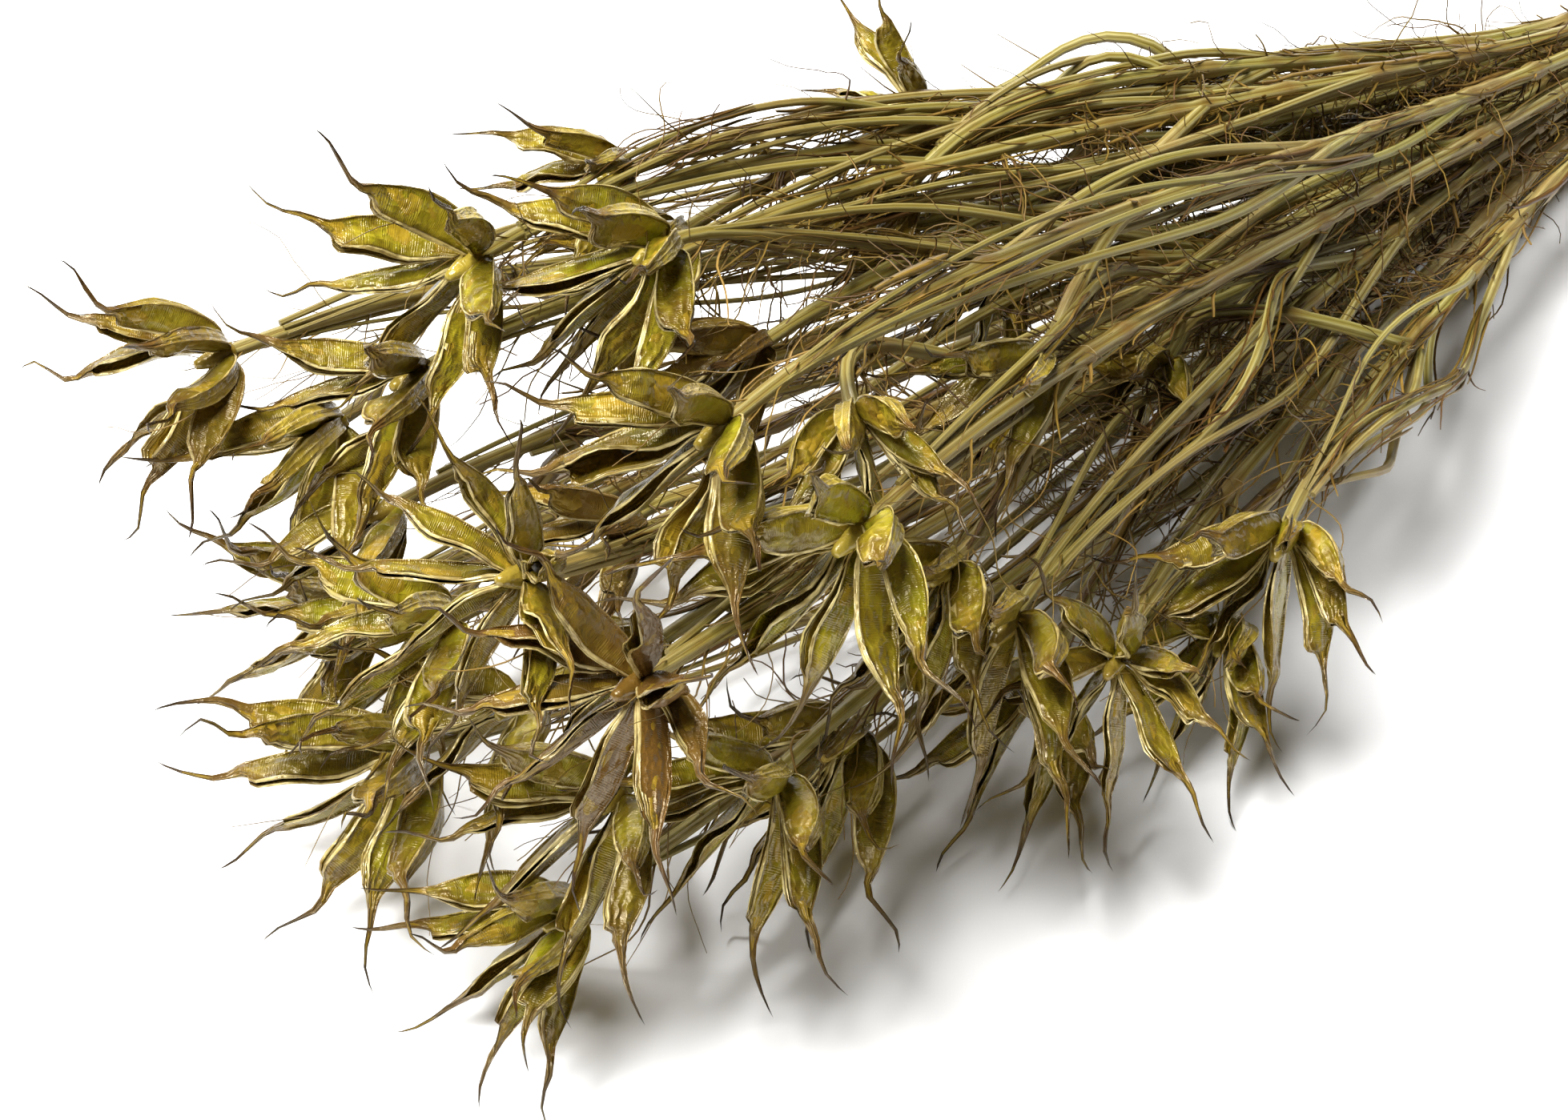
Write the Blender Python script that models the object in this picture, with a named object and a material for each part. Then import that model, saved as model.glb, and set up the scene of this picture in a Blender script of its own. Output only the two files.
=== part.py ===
"""A tied bunch of dried nigella stems with open seed heads, lying on its side.

The seed heads point along -X, the cut ends along +X, and the bunch rests on the flat under its
elastic tie and on the lowest pods of its lowest heads. Each leafy stem with its side branches is one
solid, each seed head is one solid, and the tie is one solid. Lengths here are in millimetres and
become metres when a mesh is made.
"""
import math
import random
from collections import namedtuple

import bmesh
import bpy
from mathutils import Vector
from mathutils.bvhtree import BVHTree
from mathutils.kdtree import KDTree

MM = 0.001                   # metres in a millimetre

# Stems
STEM_RADIUS = 1.6            # at the tie
NECK_RADIUS = 1.2            # under a seed head
BRANCH_RADIUS = 1.25         # at a fork
SLOT_PITCH = 3.85            # between the stems' centres inside the tie
CUT_LENGTH = 118.0           # from the tie to the cut ends
CUT_RAGGED = 9.0             # how far the cut ends differ
FLARE = 0.75                 # how much wider the bundle is at the cut ends
STEM_GAP = 0.45              # air kept between two stems
STEM_STEPS = 6               # straight pieces from the tie to the neck
BRANCH_STEPS = 4
NECK_LENGTH = 3.0            # straight end of a stem under its head
SWAY_TRIES = 600             # routes tried for one stem

# Thread leaves
LEAF_RADIUS = 0.42
LEAF_LENGTH = (16.0, 34.0)
LEAVES_PER_STEM = 3
LEAF_TRIES = 14

# Tie
TIE_WIDTH = 9.0              # along the stems
TIE_TURNS = 3                # turns of the band, side by side
TIE_THICKNESS = 1.5
TIE_SIDES = 16
TIE_FLAT = 0.82              # share of the tie's radius where its underside is flat
FLOOR_GAP = 0.3              # air under everything but the tie

# Seed head
SEAT_GAP = 0.3               # between a stem's tip and its head
CORE_RADIUS = 2.0
CORE_TOP_RADIUS = 0.8
CORE_HEIGHT = 7.0
CORE_SIDES = 6
POD_RISE = 1.2               # height of the pods' roots on the core
POD_TRIES = 30               # places tried for one pod
POD_AIR = 0.2                # air kept round a pod
BEAK_START = 22.0            # along the pod, where the body ends and the beak begins
BEAK_TIP = 34.0
# One pod from its root to mid-beak: along, outer edge, inner edge, half width of the outer band.
POD_STATIONS = (
    (0.0, 0.5, -0.5, 0.5),
    (3.8, 3.3, -1.7, 1.2),
    (16.5, 2.6, -3.6, 1.5),
    (BEAK_START, 0.7, -0.6, 0.6),
)

# A seed head: the stem that it grows on, the place of its foot from the tie (out along the bunch, to
# the left seen from the cut ends, up), where it points (degrees to the right, degrees up), its size,
# its pods, how far they open (degrees), where its branch leaves the stem (0 for the stem's own head)
# and how far the stem bows on its way (to the left, up).
Head = namedtuple("Head", "name stem out side up turn rise size pods open fork bow")
HEADS = (
    Head("head_01", 1, 165, 43, 60, -26, 14, 0.74, 8, 60, 0, (0, 0)),
    Head("head_02", 2, 232, 46, 84, -6, 8, 0.78, 7, 40, 0, (0, 0)),
    Head("head_03", 2, 227, 39, 72, 0, 2, 0.86, 7, 42, 0.55, (0, 0)),
    Head("head_04", 3, 192, 21, 72, 6, -14, 0.76, 6, 34, 0, (0, 0)),
    Head("head_05", 3, 175, 15, 47, 24, -8, 0.7, 6, 32, 0.5, (0, 0)),
    Head("head_06", 4, 297, 66, 75, -10, 4, 0.96, 8, 42, 0, (0, 0)),
    Head("head_07", 4, 288, 52, 64, -2, -4, 0.98, 8, 46, 0.72, (0, 0)),
    Head("head_08", 5, 280, 41, 76, 2, 6, 1.0, 8, 44, 0, (0, 0)),
    Head("head_09", 6, 270, 38, 94, 4, 4, 1.0, 8, 50, 0, (0, 0)),
    Head("head_10", 7, 248, 20, 94, 2, 4, 1.04, 9, 46, 0, (-26, -22)),
    Head("head_11", 7, 254, -24, 92, 54, -6, 0.82, 8, 36, 0.38, (-36, -10)),
    Head("head_12", 8, 236, 11, 72, 0, 2, 0.9, 7, 36, 0, (0, 0)),
    Head("head_13", 9, 242, 26, 84, -2, 8, 0.9, 7, 40, 0, (0, 0)),
    Head("head_14", 10, 277, -22, 104, 4, 0, 1.04, 9, 46, 0, (0, 6)),
    Head("head_15", 10, 214, -26, 78, 18, -2, 0.9, 8, 38, 0.5, (0, 0)),
    Head("head_16", 11, 267, -39, 88, 8, 2, 1.1, 9, 48, 0, (0, 4)),
    Head("head_17", 11, 244, -36, 62, 10, 6, 0.96, 8, 40, 0.62, (0, 0)),
    Head("head_18", 12, 309, -13, 90, 6, 30, 0.92, 9, 58, 0, (0, 4)),
    Head("head_19", 12, 278, -2, 72, 2, 10, 0.8, 7, 40, 0.62, (0, 0)),
    Head("head_20", 13, 289, 39, 55, -4, 4, 0.92, 8, 40, 0, (0, 0)),
    Head("head_21", 13, 291, 30, 38, 0, -4, 0.96, 8, 44, 0.7, (0, 0)),
    Head("head_22", 14, 286, 54, 22, -6, 8, 1.0, 8, 42, 0, (0, 0)),
    Head("head_23", 14, 304, 9, 62, -2, 10, 0.96, 8, 44, 0.66, (0, 0)),
    Head("head_24", 15, 303, 23, 21, -8, 6, 1.16, 9, 46, 0, (0, 0)),
    Head("head_25", 15, 297, 2, 45, 2, 4, 0.96, 8, 42, 0.68, (0, 0)),
    Head("head_26", 16, 307, -18, 21, 0, 4, 1.02, 9, 42, 0, (0, 0)),
    Head("head_27", 16, 299, -20, 42, 4, 6, 1.0, 8, 42, 0.7, (0, 0)),
    Head("head_28", 17, 253, -25, 24, 10, 0, 1.06, 8, 40, 0, (0, 0)),
    Head("head_29", 17, 280, -34, 42, 10, 6, 1.0, 8, 44, 0.64, (0, 0)),
    Head("head_30", 18, 308, -35, 84, 10, 20, 0.98, 9, 54, 0, (0, 4)),
    Head("head_31", 18, 283, -12, 56, 6, 8, 0.92, 7, 40, 0.6, (0, 0)),
    Head("head_32", 19, 241, -46, 56, 14, -4, 1.06, 9, 48, 0, (0, 4)),
    Head("head_33", 19, 223, -38, 22, 22, 2, 1.0, 8, 38, 0.58, (0, 0)),
    Head("head_34", 20, 227, -55, 42, 26, 14, 0.88, 9, 54, 0, (0, 0)),
    Head("head_35", 20, 193, -51, 20, 26, 4, 0.92, 8, 38, 0.6, (0, 0)),
    Head("head_36", 21, 187, -56, 42, 24, -2, 1.0, 9, 44, 0, (-8, 2)),
    Head("head_37", 21, 176, -22, 50, 18, 0, 0.72, 6, 34, 0.55, (0, 0)),
)
STEMS = sorted({head.stem for head in HEADS})

MATERIALS = {
    "pod": ((0.40, 0.37, 0.10, 1), 0.5),
    "stem": ((0.36, 0.34, 0.17, 1), 0.65),
    "tie": ((0.58, 0.40, 0.20, 1), 0.6),
}


def clear_scene():
    for old in list(bpy.data.objects):
        bpy.data.objects.remove(old, do_unlink=True)


def make_materials():
    for name, (colour, roughness) in MATERIALS.items():
        material = bpy.data.materials.new(name)
        material.use_nodes = True
        shader = material.node_tree.nodes["Principled BSDF"]
        shader.inputs["Base Color"].default_value = colour
        shader.inputs["Roughness"].default_value = roughness
        shader.inputs["Metallic"].default_value = 0


def make_collection(name):
    collection = bpy.data.collections.new(name)
    bpy.context.scene.collection.children.link(collection)
    return collection


# Layout

def tie_slots(count):
    """Places of the stems' centres in the tie, close packed: (side, up) from the tie's middle."""
    lattice = []
    for row in range(-5, 6):
        for column in range(-5, 6):
            side = (column + 0.5 * (row % 2)) * SLOT_PITCH
            up = row * SLOT_PITCH * math.sqrt(0.75)
            lattice.append((side - 0.25 * SLOT_PITCH, up + 0.1 * SLOT_PITCH))
    lattice.sort(key=lambda slot: math.hypot(*slot))
    return lattice[:count]


def evened(values):
    """The same values about a middle of 0 and with a spread of 1."""
    middle = sum(values) / len(values)
    spread = math.sqrt(sum((value - middle) ** 2 for value in values) / len(values))
    return [(value - middle) / spread for value in values]


def share_slots():
    """Gives each stem the slot that lies, in the tie, most as its head lies in the bunch."""
    own_heads = [head for stem in STEMS for head in HEADS if head.stem == stem and head.fork == 0]
    wishes = list(zip(evened([(head.side + head.bow[0]) / head.out for head in own_heads]),
                      evened([(head.up + head.bow[1]) / head.out for head in own_heads])))
    slots = tie_slots(len(STEMS))
    places = list(zip(evened([slot[0] for slot in slots]), evened([slot[1] for slot in slots])))
    given = list(range(len(STEMS)))

    def cost(stem, place):
        return math.dist(wishes[stem], places[place]) ** 2

    swapped = True
    while swapped:
        swapped = False
        for one in given[:]:
            for other in range(one):
                now = cost(one, given[one]) + cost(other, given[other])
                if cost(one, given[other]) + cost(other, given[one]) < now - 0.000001:
                    given[one], given[other] = given[other], given[one]
                    swapped = True
    return {stem: slots[place] for stem, place in zip(STEMS, given)}


SLOTS = share_slots()
BUNDLE_RADIUS = max(math.hypot(*slot) for slot in SLOTS.values()) + STEM_RADIUS + 0.35
TIE_RADIUS = BUNDLE_RADIUS + TIE_THICKNESS
TIE_HEIGHT = TIE_RADIUS * TIE_FLAT + TIE_THICKNESS   # of the tie's middle above the surface


def head_axis(head):
    turn, rise = math.radians(head.turn), math.radians(head.rise)
    return Vector((-math.cos(turn) * math.cos(rise), -math.sin(turn) * math.cos(rise), math.sin(rise)))


def head_foot(head):
    return Vector((-head.out, head.side, head.up))


def bezier(start, start_handle, end_handle, end, steps):
    points = []
    for step in range(steps + 1):
        t = step / steps
        points.append(start * (1 - t) ** 3 + start_handle * 3 * t * (1 - t) ** 2
                      + end_handle * 3 * t * t * (1 - t) + end * t ** 3)
    return points


def sway(key, tried, span):
    """A seeded push, larger the more routes were tried before."""
    draw = random.Random(f"{key}/{tried}")
    reach = 0.1 * tried
    along = min(0.12 * span, 0.3 * tried)
    return Vector((draw.uniform(-along, along), draw.uniform(-reach, reach), draw.uniform(-reach, reach)))


def stem_route(head, tried):
    """Points of a stem from the tie to its own head."""
    side, up = SLOTS[head.stem]
    start = Vector((-TIE_WIDTH, side, TIE_HEIGHT + up))
    seat = head_foot(head) - head_axis(head) * SEAT_GAP
    end = seat - head_axis(head) * NECK_LENGTH
    span = (end - start).length
    leave = (Vector((-1, 0, 0)) + (end - start) / span).normalized()
    bow = Vector((0, *head.bow))
    start_handle = start + leave * span * 0.34 + bow + sway(head.name + "/a", tried, span)
    end_handle = end - head_axis(head) * span * 0.2 + bow * 0.4 + sway(head.name + "/b", tried, span)
    return bezier(start, start_handle, end_handle, end, STEM_STEPS) + [seat]


def branch_route(head, stem_points, tried):
    """Points of a side branch from its fork on the stem to its own head."""
    place = head.fork * (len(stem_points) - 1)
    index = int(place)
    before, after = stem_points[index], stem_points[index + 1]
    start = before.lerp(after, place - index)
    seat = head_foot(head) - head_axis(head) * SEAT_GAP
    end = seat - head_axis(head) * NECK_LENGTH
    span = (end - start).length
    leave = ((after - before).normalized() * 1.6 + (end - start) / span).normalized()
    bow = Vector((0, *head.bow))
    start_handle = start + leave * span * 0.34 + bow + sway(head.name + "/a", tried, span)
    end_handle = end - head_axis(head) * span * 0.26 + bow * 0.3 + sway(head.name + "/b", tried, span)
    return bezier(start, start_handle, end_handle, end, BRANCH_STEPS) + [seat]


def cut_points(stem):
    """Points of a stem from its cut end to the tie."""
    side, up = SLOTS[stem]
    length = CUT_LENGTH + random.Random(f"cut/{stem}").uniform(-CUT_RAGGED, CUT_RAGGED)
    grow = 1 + FLARE
    rise = BUNDLE_RADIUS * grow + FLOOR_GAP - TIE_HEIGHT
    return [Vector((length, side * grow, TIE_HEIGHT + up * grow + rise)),
            Vector((TIE_WIDTH, side, TIE_HEIGHT + up))]


class Taken:
    """The space that stems and head cores already hold, as balls along them."""

    def __init__(self):
        self.balls = []
        self.tree = None

    def add(self, tag, points, radii):
        self.balls += [(tag, point, radius) for point, radius in beads(points, radii)]
        self.tree = KDTree(len(self.balls))
        for index, ball in enumerate(self.balls):
            self.tree.insert(ball[1], index)
        self.tree.balance()

    def clear(self, own, points, radii):
        for point, radius in beads(points, radii):
            if point.z < radius + FLOOR_GAP:
                return False
            for _, index, distance in self.tree.find_range(point, radius + CORE_RADIUS + 2.0):
                tag, _, other = self.balls[index]
                if tag not in own and distance < radius + other + STEM_GAP:
                    return False
        return True


def beads(points, radii):
    """Balls about 1.2 mm apart along a route, each with the route's radius there."""
    found = []
    for index in range(len(points) - 1):
        start, end = points[index], points[index + 1]
        count = max(1, int((end - start).length / 1.2))
        for step in range(count):
            share = step / count
            radius = radii[index] + (radii[index + 1] - radii[index]) * share
            found.append((start.lerp(end, share), radius))
    found.append((points[-1], radii[-1]))
    return found


def taper(start, end, count):
    return [start + (end - start) * index / (count - 1) for index in range(count)]


def find_route(name, own, make_points, radii, taken):
    """The first route that keeps clear of everything that is already there."""
    for tried in range(SWAY_TRIES):
        points = make_points(tried)
        if taken.clear(own, points, radii):
            return points
    raise RuntimeError(f"no clear route for {name}")


def lay_out_stems():
    """Every stem's and branch's points and radii, by stem."""
    taken = Taken()
    for head in HEADS:
        foot = head_foot(head)
        taken.add(head.name, [foot, foot + head_axis(head) * 5.0], [CORE_RADIUS + 0.4] * 2)
    layout = {}
    for head in sorted(HEADS, key=lambda each: (each.fork > 0, each.bow == (0, 0), each.up)):
        own = {f"stem/{head.stem}", head.name}
        if head.fork == 0:
            radii = taper(STEM_RADIUS, NECK_RADIUS, STEM_STEPS + 2)
            points = find_route(head.name, own, lambda tried: stem_route(head, tried), radii, taken)
            layout[head.stem] = [(cut_points(head.stem) + points, [STEM_RADIUS] * 2 + radii)]
        else:
            radii = taper(BRANCH_RADIUS, NECK_RADIUS, BRANCH_STEPS + 2)
            stem_points = layout[head.stem][0][0][2:]
            points = find_route(head.name, own, lambda tried: branch_route(head, stem_points, tried),
                                radii, taken)
            layout[head.stem].append((points, radii))
        taken.add(f"stem/{head.stem}", points, radii)
    return layout


# Meshes

def tube(name, points, radii, sides_step):
    """A closed tube along the points: a bevelled curve with filled caps, made a mesh and welded."""
    curve = bpy.data.curves.new(name, "CURVE")
    curve.dimensions = "3D"
    curve.bevel_depth = MM
    curve.bevel_resolution = sides_step
    curve.use_fill_caps = True
    spline = curve.splines.new("POLY")
    spline.points.add(len(points) - 1)
    for control, point, radius in zip(spline.points, points, radii):
        control.co = (*(point * MM), 1)
        control.radius = radius
    return mesh_of_curve(name, curve)


def mesh_of_curve(name, curve):
    guide = bpy.data.objects.new(name, curve)
    bpy.context.scene.collection.objects.link(guide)
    bpy.context.view_layer.update()
    mesh = bpy.data.meshes.new_from_object(guide.evaluated_get(bpy.context.evaluated_depsgraph_get()))
    weld(mesh)
    piece = bpy.data.objects.new(name, mesh)
    piece.matrix_world = guide.matrix_world
    bpy.data.objects.remove(guide, do_unlink=True)
    bpy.data.curves.remove(curve)
    return piece


def weld(mesh):
    shape = bmesh.new()
    shape.from_mesh(mesh)
    bmesh.ops.remove_doubles(shape, verts=shape.verts, dist=0.00001)
    bmesh.ops.triangulate(shape, faces=shape.faces)
    bmesh.ops.recalc_face_normals(shape, faces=shape.faces)
    shape.to_mesh(mesh)
    shape.free()


def loft(name, rings, tip):
    """Skins rings of equal count, closes the first and runs the last to a point."""
    shape = bmesh.new()
    rows = [[shape.verts.new(point * MM) for point in ring] for ring in rings]
    end = shape.verts.new(tip * MM)
    count = len(rows[0])
    for lower, upper in zip(rows, rows[1:]):
        for index in range(count):
            following = (index + 1) % count
            shape.faces.new((lower[index], lower[following], upper[following]))
            shape.faces.new((lower[index], upper[following], upper[index]))
    for index in range(count):
        shape.faces.new((rows[-1][index], rows[-1][(index + 1) % count], end))
    shape.faces.new(rows[0][::-1])
    bmesh.ops.recalc_face_normals(shape, faces=shape.faces)
    mesh = bpy.data.meshes.new(name)
    shape.to_mesh(mesh)
    shape.free()
    return bpy.data.objects.new(name, mesh)


def union(name, pieces, material, home):
    """Joins the pieces of one node into one closed solid."""
    body, *others = pieces
    home.objects.link(body)
    if others:
        joined = make_collection(name + "_parts")
        for piece in others:
            joined.objects.link(piece)
        for solver in ("EXACT", "MANIFOLD"):
            mesh = joined_mesh(body, joined, solver)
            if is_closed(mesh):
                break
        body.data = mesh
        for piece in others:
            bpy.data.objects.remove(piece, do_unlink=True)
        bpy.data.collections.remove(joined)
    body.name = name
    body.data.name = name
    body.data.materials.clear()
    body.data.materials.append(bpy.data.materials[material])
    return body


def joined_mesh(body, joined, solver):
    modifier = body.modifiers.new("join", "BOOLEAN")
    modifier.operation = "UNION"
    modifier.operand_type = "COLLECTION"
    modifier.collection = joined
    modifier.solver = solver
    bpy.context.view_layer.update()
    mesh = bpy.data.meshes.new_from_object(body.evaluated_get(bpy.context.evaluated_depsgraph_get()))
    body.modifiers.clear()
    keep_main_skin(mesh)
    return mesh


def is_closed(mesh):
    shape = bmesh.new()
    shape.from_mesh(mesh)
    closed = all(edge.is_manifold for edge in shape.edges)
    shape.free()
    return closed


def keep_main_skin(mesh):
    """Keeps the largest connected skin, without sealed hollows and loose chips."""
    shape = bmesh.new()
    shape.from_mesh(mesh)
    unseen = set(shape.verts)
    skins = []
    while unseen:
        skin, reached = [], [unseen.pop()]
        while reached:
            vertex = reached.pop()
            skin.append(vertex)
            for edge in vertex.link_edges:
                other = edge.other_vert(vertex)
                if other in unseen:
                    unseen.discard(other)
                    reached.append(other)
        skins.append(skin)
    skins.sort(key=len)
    for skin in skins[:-1]:
        bmesh.ops.delete(shape, geom=skin, context="VERTS")
    bmesh.ops.triangulate(shape, faces=shape.faces)
    shape.to_mesh(mesh)
    shape.free()


# Seed heads

def head_frame(head):
    axis = head_axis(head)
    across = axis.cross(Vector((0, 0, 1))).normalized()
    return axis, across, across.cross(axis)


def pod_points(head, number, tried, air=0.0):
    """Rings and tip of one pod, a wedge with a broad outer band and a thin inner edge."""
    draw = random.Random(f"{head.name}/{number}/{tried}")
    loosen = 1 + 0.12 * tried
    round_axis = 360 / head.pods * (number + 0.5) + 4 * loosen * draw.uniform(-1, 1)
    opening = head.open + 6 * draw.uniform(-1, 1) - 1.2 * tried * draw.random()
    size = head.size * draw.uniform(0.92, 1.06)
    curl = draw.uniform(-1.5, 6.0)
    bend = draw.uniform(-3.0, 3.0)
    twist = math.radians(draw.uniform(-14, 14))
    axis, across, level = head_frame(head)
    turned = math.radians(round_axis)
    outward = across * math.cos(turned) + level * math.sin(turned)
    opened = math.radians(opening)
    along = axis * math.cos(opened) + outward * math.sin(opened)
    back = outward * math.cos(opened) - axis * math.sin(opened)
    beside = along.cross(back)
    root = head_foot(head) + axis * POD_RISE * head.size + outward * 0.8 * head.size

    def place(length, rise, width):
        beak = max(0.0, (length - BEAK_START) / (BEAK_TIP - BEAK_START))
        turn = twist * min(1.0, length / BEAK_START)
        tilted = back * (rise * math.cos(turn) - width * math.sin(turn))
        spread = beside * (rise * math.sin(turn) + width * math.cos(turn))
        bent = back * curl * beak ** 2 + beside * bend * beak ** 2
        return root + (along * length + tilted + spread + bent) * size

    grow = air / size
    rings = []
    for length, outer, inner, half in POD_STATIONS:
        rings.append([place(length, outer + grow, -half - grow), place(length, outer + grow, half + grow),
                      place(length, inner - grow * 2, 0)])
    return rings, place(BEAK_TIP + grow * 2, 0, 0)


def core(head):
    """The receptacle and the middle of the head, which the pods grow from."""
    axis = head_axis(head)
    mesh = bpy.data.meshes.new(head.name)
    shape = bmesh.new()
    height = CORE_HEIGHT * head.size
    bmesh.ops.create_cone(shape, cap_ends=True, segments=CORE_SIDES, radius1=CORE_RADIUS * head.size * MM,
                          radius2=CORE_TOP_RADIUS * head.size * MM, depth=height * MM)
    turn = axis.to_track_quat("Z", "Y").to_matrix()
    bmesh.ops.rotate(shape, verts=shape.verts, matrix=turn)
    bmesh.ops.translate(shape, verts=shape.verts, vec=(head_foot(head) + axis * height / 2) * MM)
    bmesh.ops.triangulate(shape, faces=shape.faces)
    shape.to_mesh(mesh)
    shape.free()
    return bpy.data.objects.new(head.name, mesh)


class Crowd:
    """Every solid placed so far, for finding whether a new one would cross another node's."""

    def __init__(self):
        self.solids = []

    def add(self, tag, piece):
        self.solids.append((tag, *self.measure(piece)))

    def measure(self, piece):
        corners = [vertex.co for vertex in piece.data.vertices]
        lowest = Vector([min(corner[axis] for corner in corners) for axis in range(3)])
        highest = Vector([max(corner[axis] for corner in corners) for axis in range(3)])
        faces = [tuple(face.vertices) for face in piece.data.polygons]
        return lowest, highest, BVHTree.FromPolygons(corners, faces)

    def clear(self, tag, piece):
        lowest, highest, tree = self.measure(piece)
        if lowest.z < FLOOR_GAP * MM:
            return False
        for other, low, high, other_tree in self.solids:
            if other == tag or any(low[axis] > highest[axis] or high[axis] < lowest[axis]
                                   for axis in range(3)):
                continue
            if tree.overlap(other_tree):
                return False
        return True


def discard(piece):
    mesh = piece.data
    bpy.data.objects.remove(piece, do_unlink=True)
    bpy.data.meshes.remove(mesh)


def grow_pods(head, crowd):
    """The pods of one head, each at the first place tried where it crosses no other node."""
    pods = []
    for number in range(head.pods):
        for tried in range(POD_TRIES):
            test = loft("test", *pod_points(head, number, tried, POD_AIR))
            fits = crowd.clear(head.name, test)
            discard(test)
            if fits:
                pod = loft(f"pod_{number}", *pod_points(head, number, tried))
                crowd.add(head.name, pod)
                pods.append(pod)
                break
    return pods


# Thread leaves

def leaf_points(stem, points, number, tried):
    """A thin leaf that leaves the stem forwards, arches and thins out."""
    draw = random.Random(f"leaf/{stem}/{number}/{tried}")
    share = 0.22 + 0.6 * (number + draw.random()) / LEAVES_PER_STEM
    place = share * (len(points) - 1)
    index = min(int(place), len(points) - 2)
    start = points[index].lerp(points[index + 1], place - index)
    forward = (points[index + 1] - points[index]).normalized()
    away = Vector((draw.uniform(-1, 1), draw.uniform(-1, 1), draw.uniform(-1, 1)))
    away = (away - forward * away.dot(forward)).normalized()
    length = draw.uniform(*LEAF_LENGTH)
    lean = draw.uniform(0.25, 0.75)
    turn = forward.cross(away)
    arch = draw.uniform(-0.25, 0.25)
    return [start + forward * length * reach + away * length * lean * reach ** 1.3
            + turn * length * arch * reach ** 2 for reach in (0.0, 0.5, 1.0)]


def grow_leaves(stem, points, crowd):
    tag = f"stem/{stem}"
    leaves = []
    radii = [LEAF_RADIUS, LEAF_RADIUS, LEAF_RADIUS * 0.45]
    for number in range(LEAVES_PER_STEM):
        for tried in range(LEAF_TRIES):
            route = leaf_points(stem, points, number, tried)
            test = tube("test", route, [radius + POD_AIR for radius in radii], 0)
            fits = crowd.clear(tag, test)
            discard(test)
            if fits:
                leaf = tube(f"leaf_{number}", route, radii, 0)
                crowd.add(tag, leaf)
                leaves.append(leaf)
                break
    return leaves


# Tie

def tie_ring(radius, along):
    """One line of the band round the bundle at a place along it, with its underside flat."""
    ring = []
    for side in range(TIE_SIDES):
        angle = math.tau * (side + 0.5) / TIE_SIDES
        up = max(radius * math.sin(angle), -(TIE_HEIGHT - (TIE_RADIUS - radius)))
        ring.append(Vector((along, radius * math.cos(angle), TIE_HEIGHT + up)))
    return ring


def make_tie(home):
    """An elastic band whose turns lie side by side."""
    turn = TIE_WIDTH / TIE_TURNS
    outline = [(BUNDLE_RADIUS, -TIE_WIDTH / 2)]
    for number in range(TIE_TURNS):
        start = -TIE_WIDTH / 2 + turn * number
        outline += [(TIE_RADIUS, start + turn * 0.25), (TIE_RADIUS, start + turn * 0.75)]
        if number < TIE_TURNS - 1:
            outline.append((TIE_RADIUS - TIE_THICKNESS * 0.4, start + turn))
    outline.append((BUNDLE_RADIUS, TIE_WIDTH / 2))
    rings = [tie_ring(radius, along) for radius, along in outline]
    shape = bmesh.new()
    rows = [[shape.verts.new(point * MM) for point in ring] for ring in rings]
    for row, following_row in zip(rows, rows[1:] + rows[:1]):
        for index in range(TIE_SIDES):
            following = (index + 1) % TIE_SIDES
            shape.faces.new((row[index], row[following], following_row[following], following_row[index]))
    bmesh.ops.triangulate(shape, faces=shape.faces)
    bmesh.ops.recalc_face_normals(shape, faces=shape.faces)
    mesh = bpy.data.meshes.new("tie")
    shape.to_mesh(mesh)
    shape.free()
    tie = bpy.data.objects.new("tie", mesh)
    return union("tie", [tie], "tie", home)


def stand_on_centre(pieces):
    """Puts the origin under the middle of the bunch, on the surface that it lies on."""
    corners = [vertex.co for piece in pieces for vertex in piece.data.vertices]
    middle = [(min(corner[axis] for corner in corners) + max(corner[axis] for corner in corners)) / 2
              for axis in range(2)]
    origin = bpy.data.objects.new("bunch_origin", None)
    bpy.context.scene.collection.objects.link(origin)
    origin.location = (-middle[0], -middle[1], 0)
    for piece in pieces:
        piece.parent = origin


def build():
    clear_scene()
    make_materials()
    home = make_collection("dried_nigella_bunch")
    tie = make_tie(home)
    crowd = Crowd()
    crowd.add("tie", tie)
    layout = lay_out_stems()
    parts = {}
    for stem, routes in layout.items():
        parts[stem] = [tube("stem", points, radii, 1) for points, radii in routes]
        for piece in parts[stem]:
            crowd.add(f"stem/{stem}", piece)
    cores = {head.name: core(head) for head in HEADS}
    for name, piece in cores.items():
        crowd.add(name, piece)
    solids = [tie]
    for head in sorted(HEADS, key=lambda each: -each.up):
        pods = grow_pods(head, crowd)
        print(f"{head.name}: {len(pods)} of {head.pods} pods")
        solids.append(union(head.name, [cores[head.name], *pods], "pod", home))
    for stem in STEMS:
        leaves = grow_leaves(stem, layout[stem][0][0][2:], crowd)
        solids.append(union(f"stem_{stem:02d}", parts[stem] + leaves, "stem", home))
    stand_on_centre(solids)
    triangles = sum(len(piece.data.loop_triangles) or len(piece.data.polygons) for piece in solids)
    print(f"{len(solids)} solids, {triangles} triangles")


build()
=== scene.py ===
import bisect
import math
import random
from collections import namedtuple

import bmesh
import bpy
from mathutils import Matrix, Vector
from mathutils.kdtree import KDTree


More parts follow.
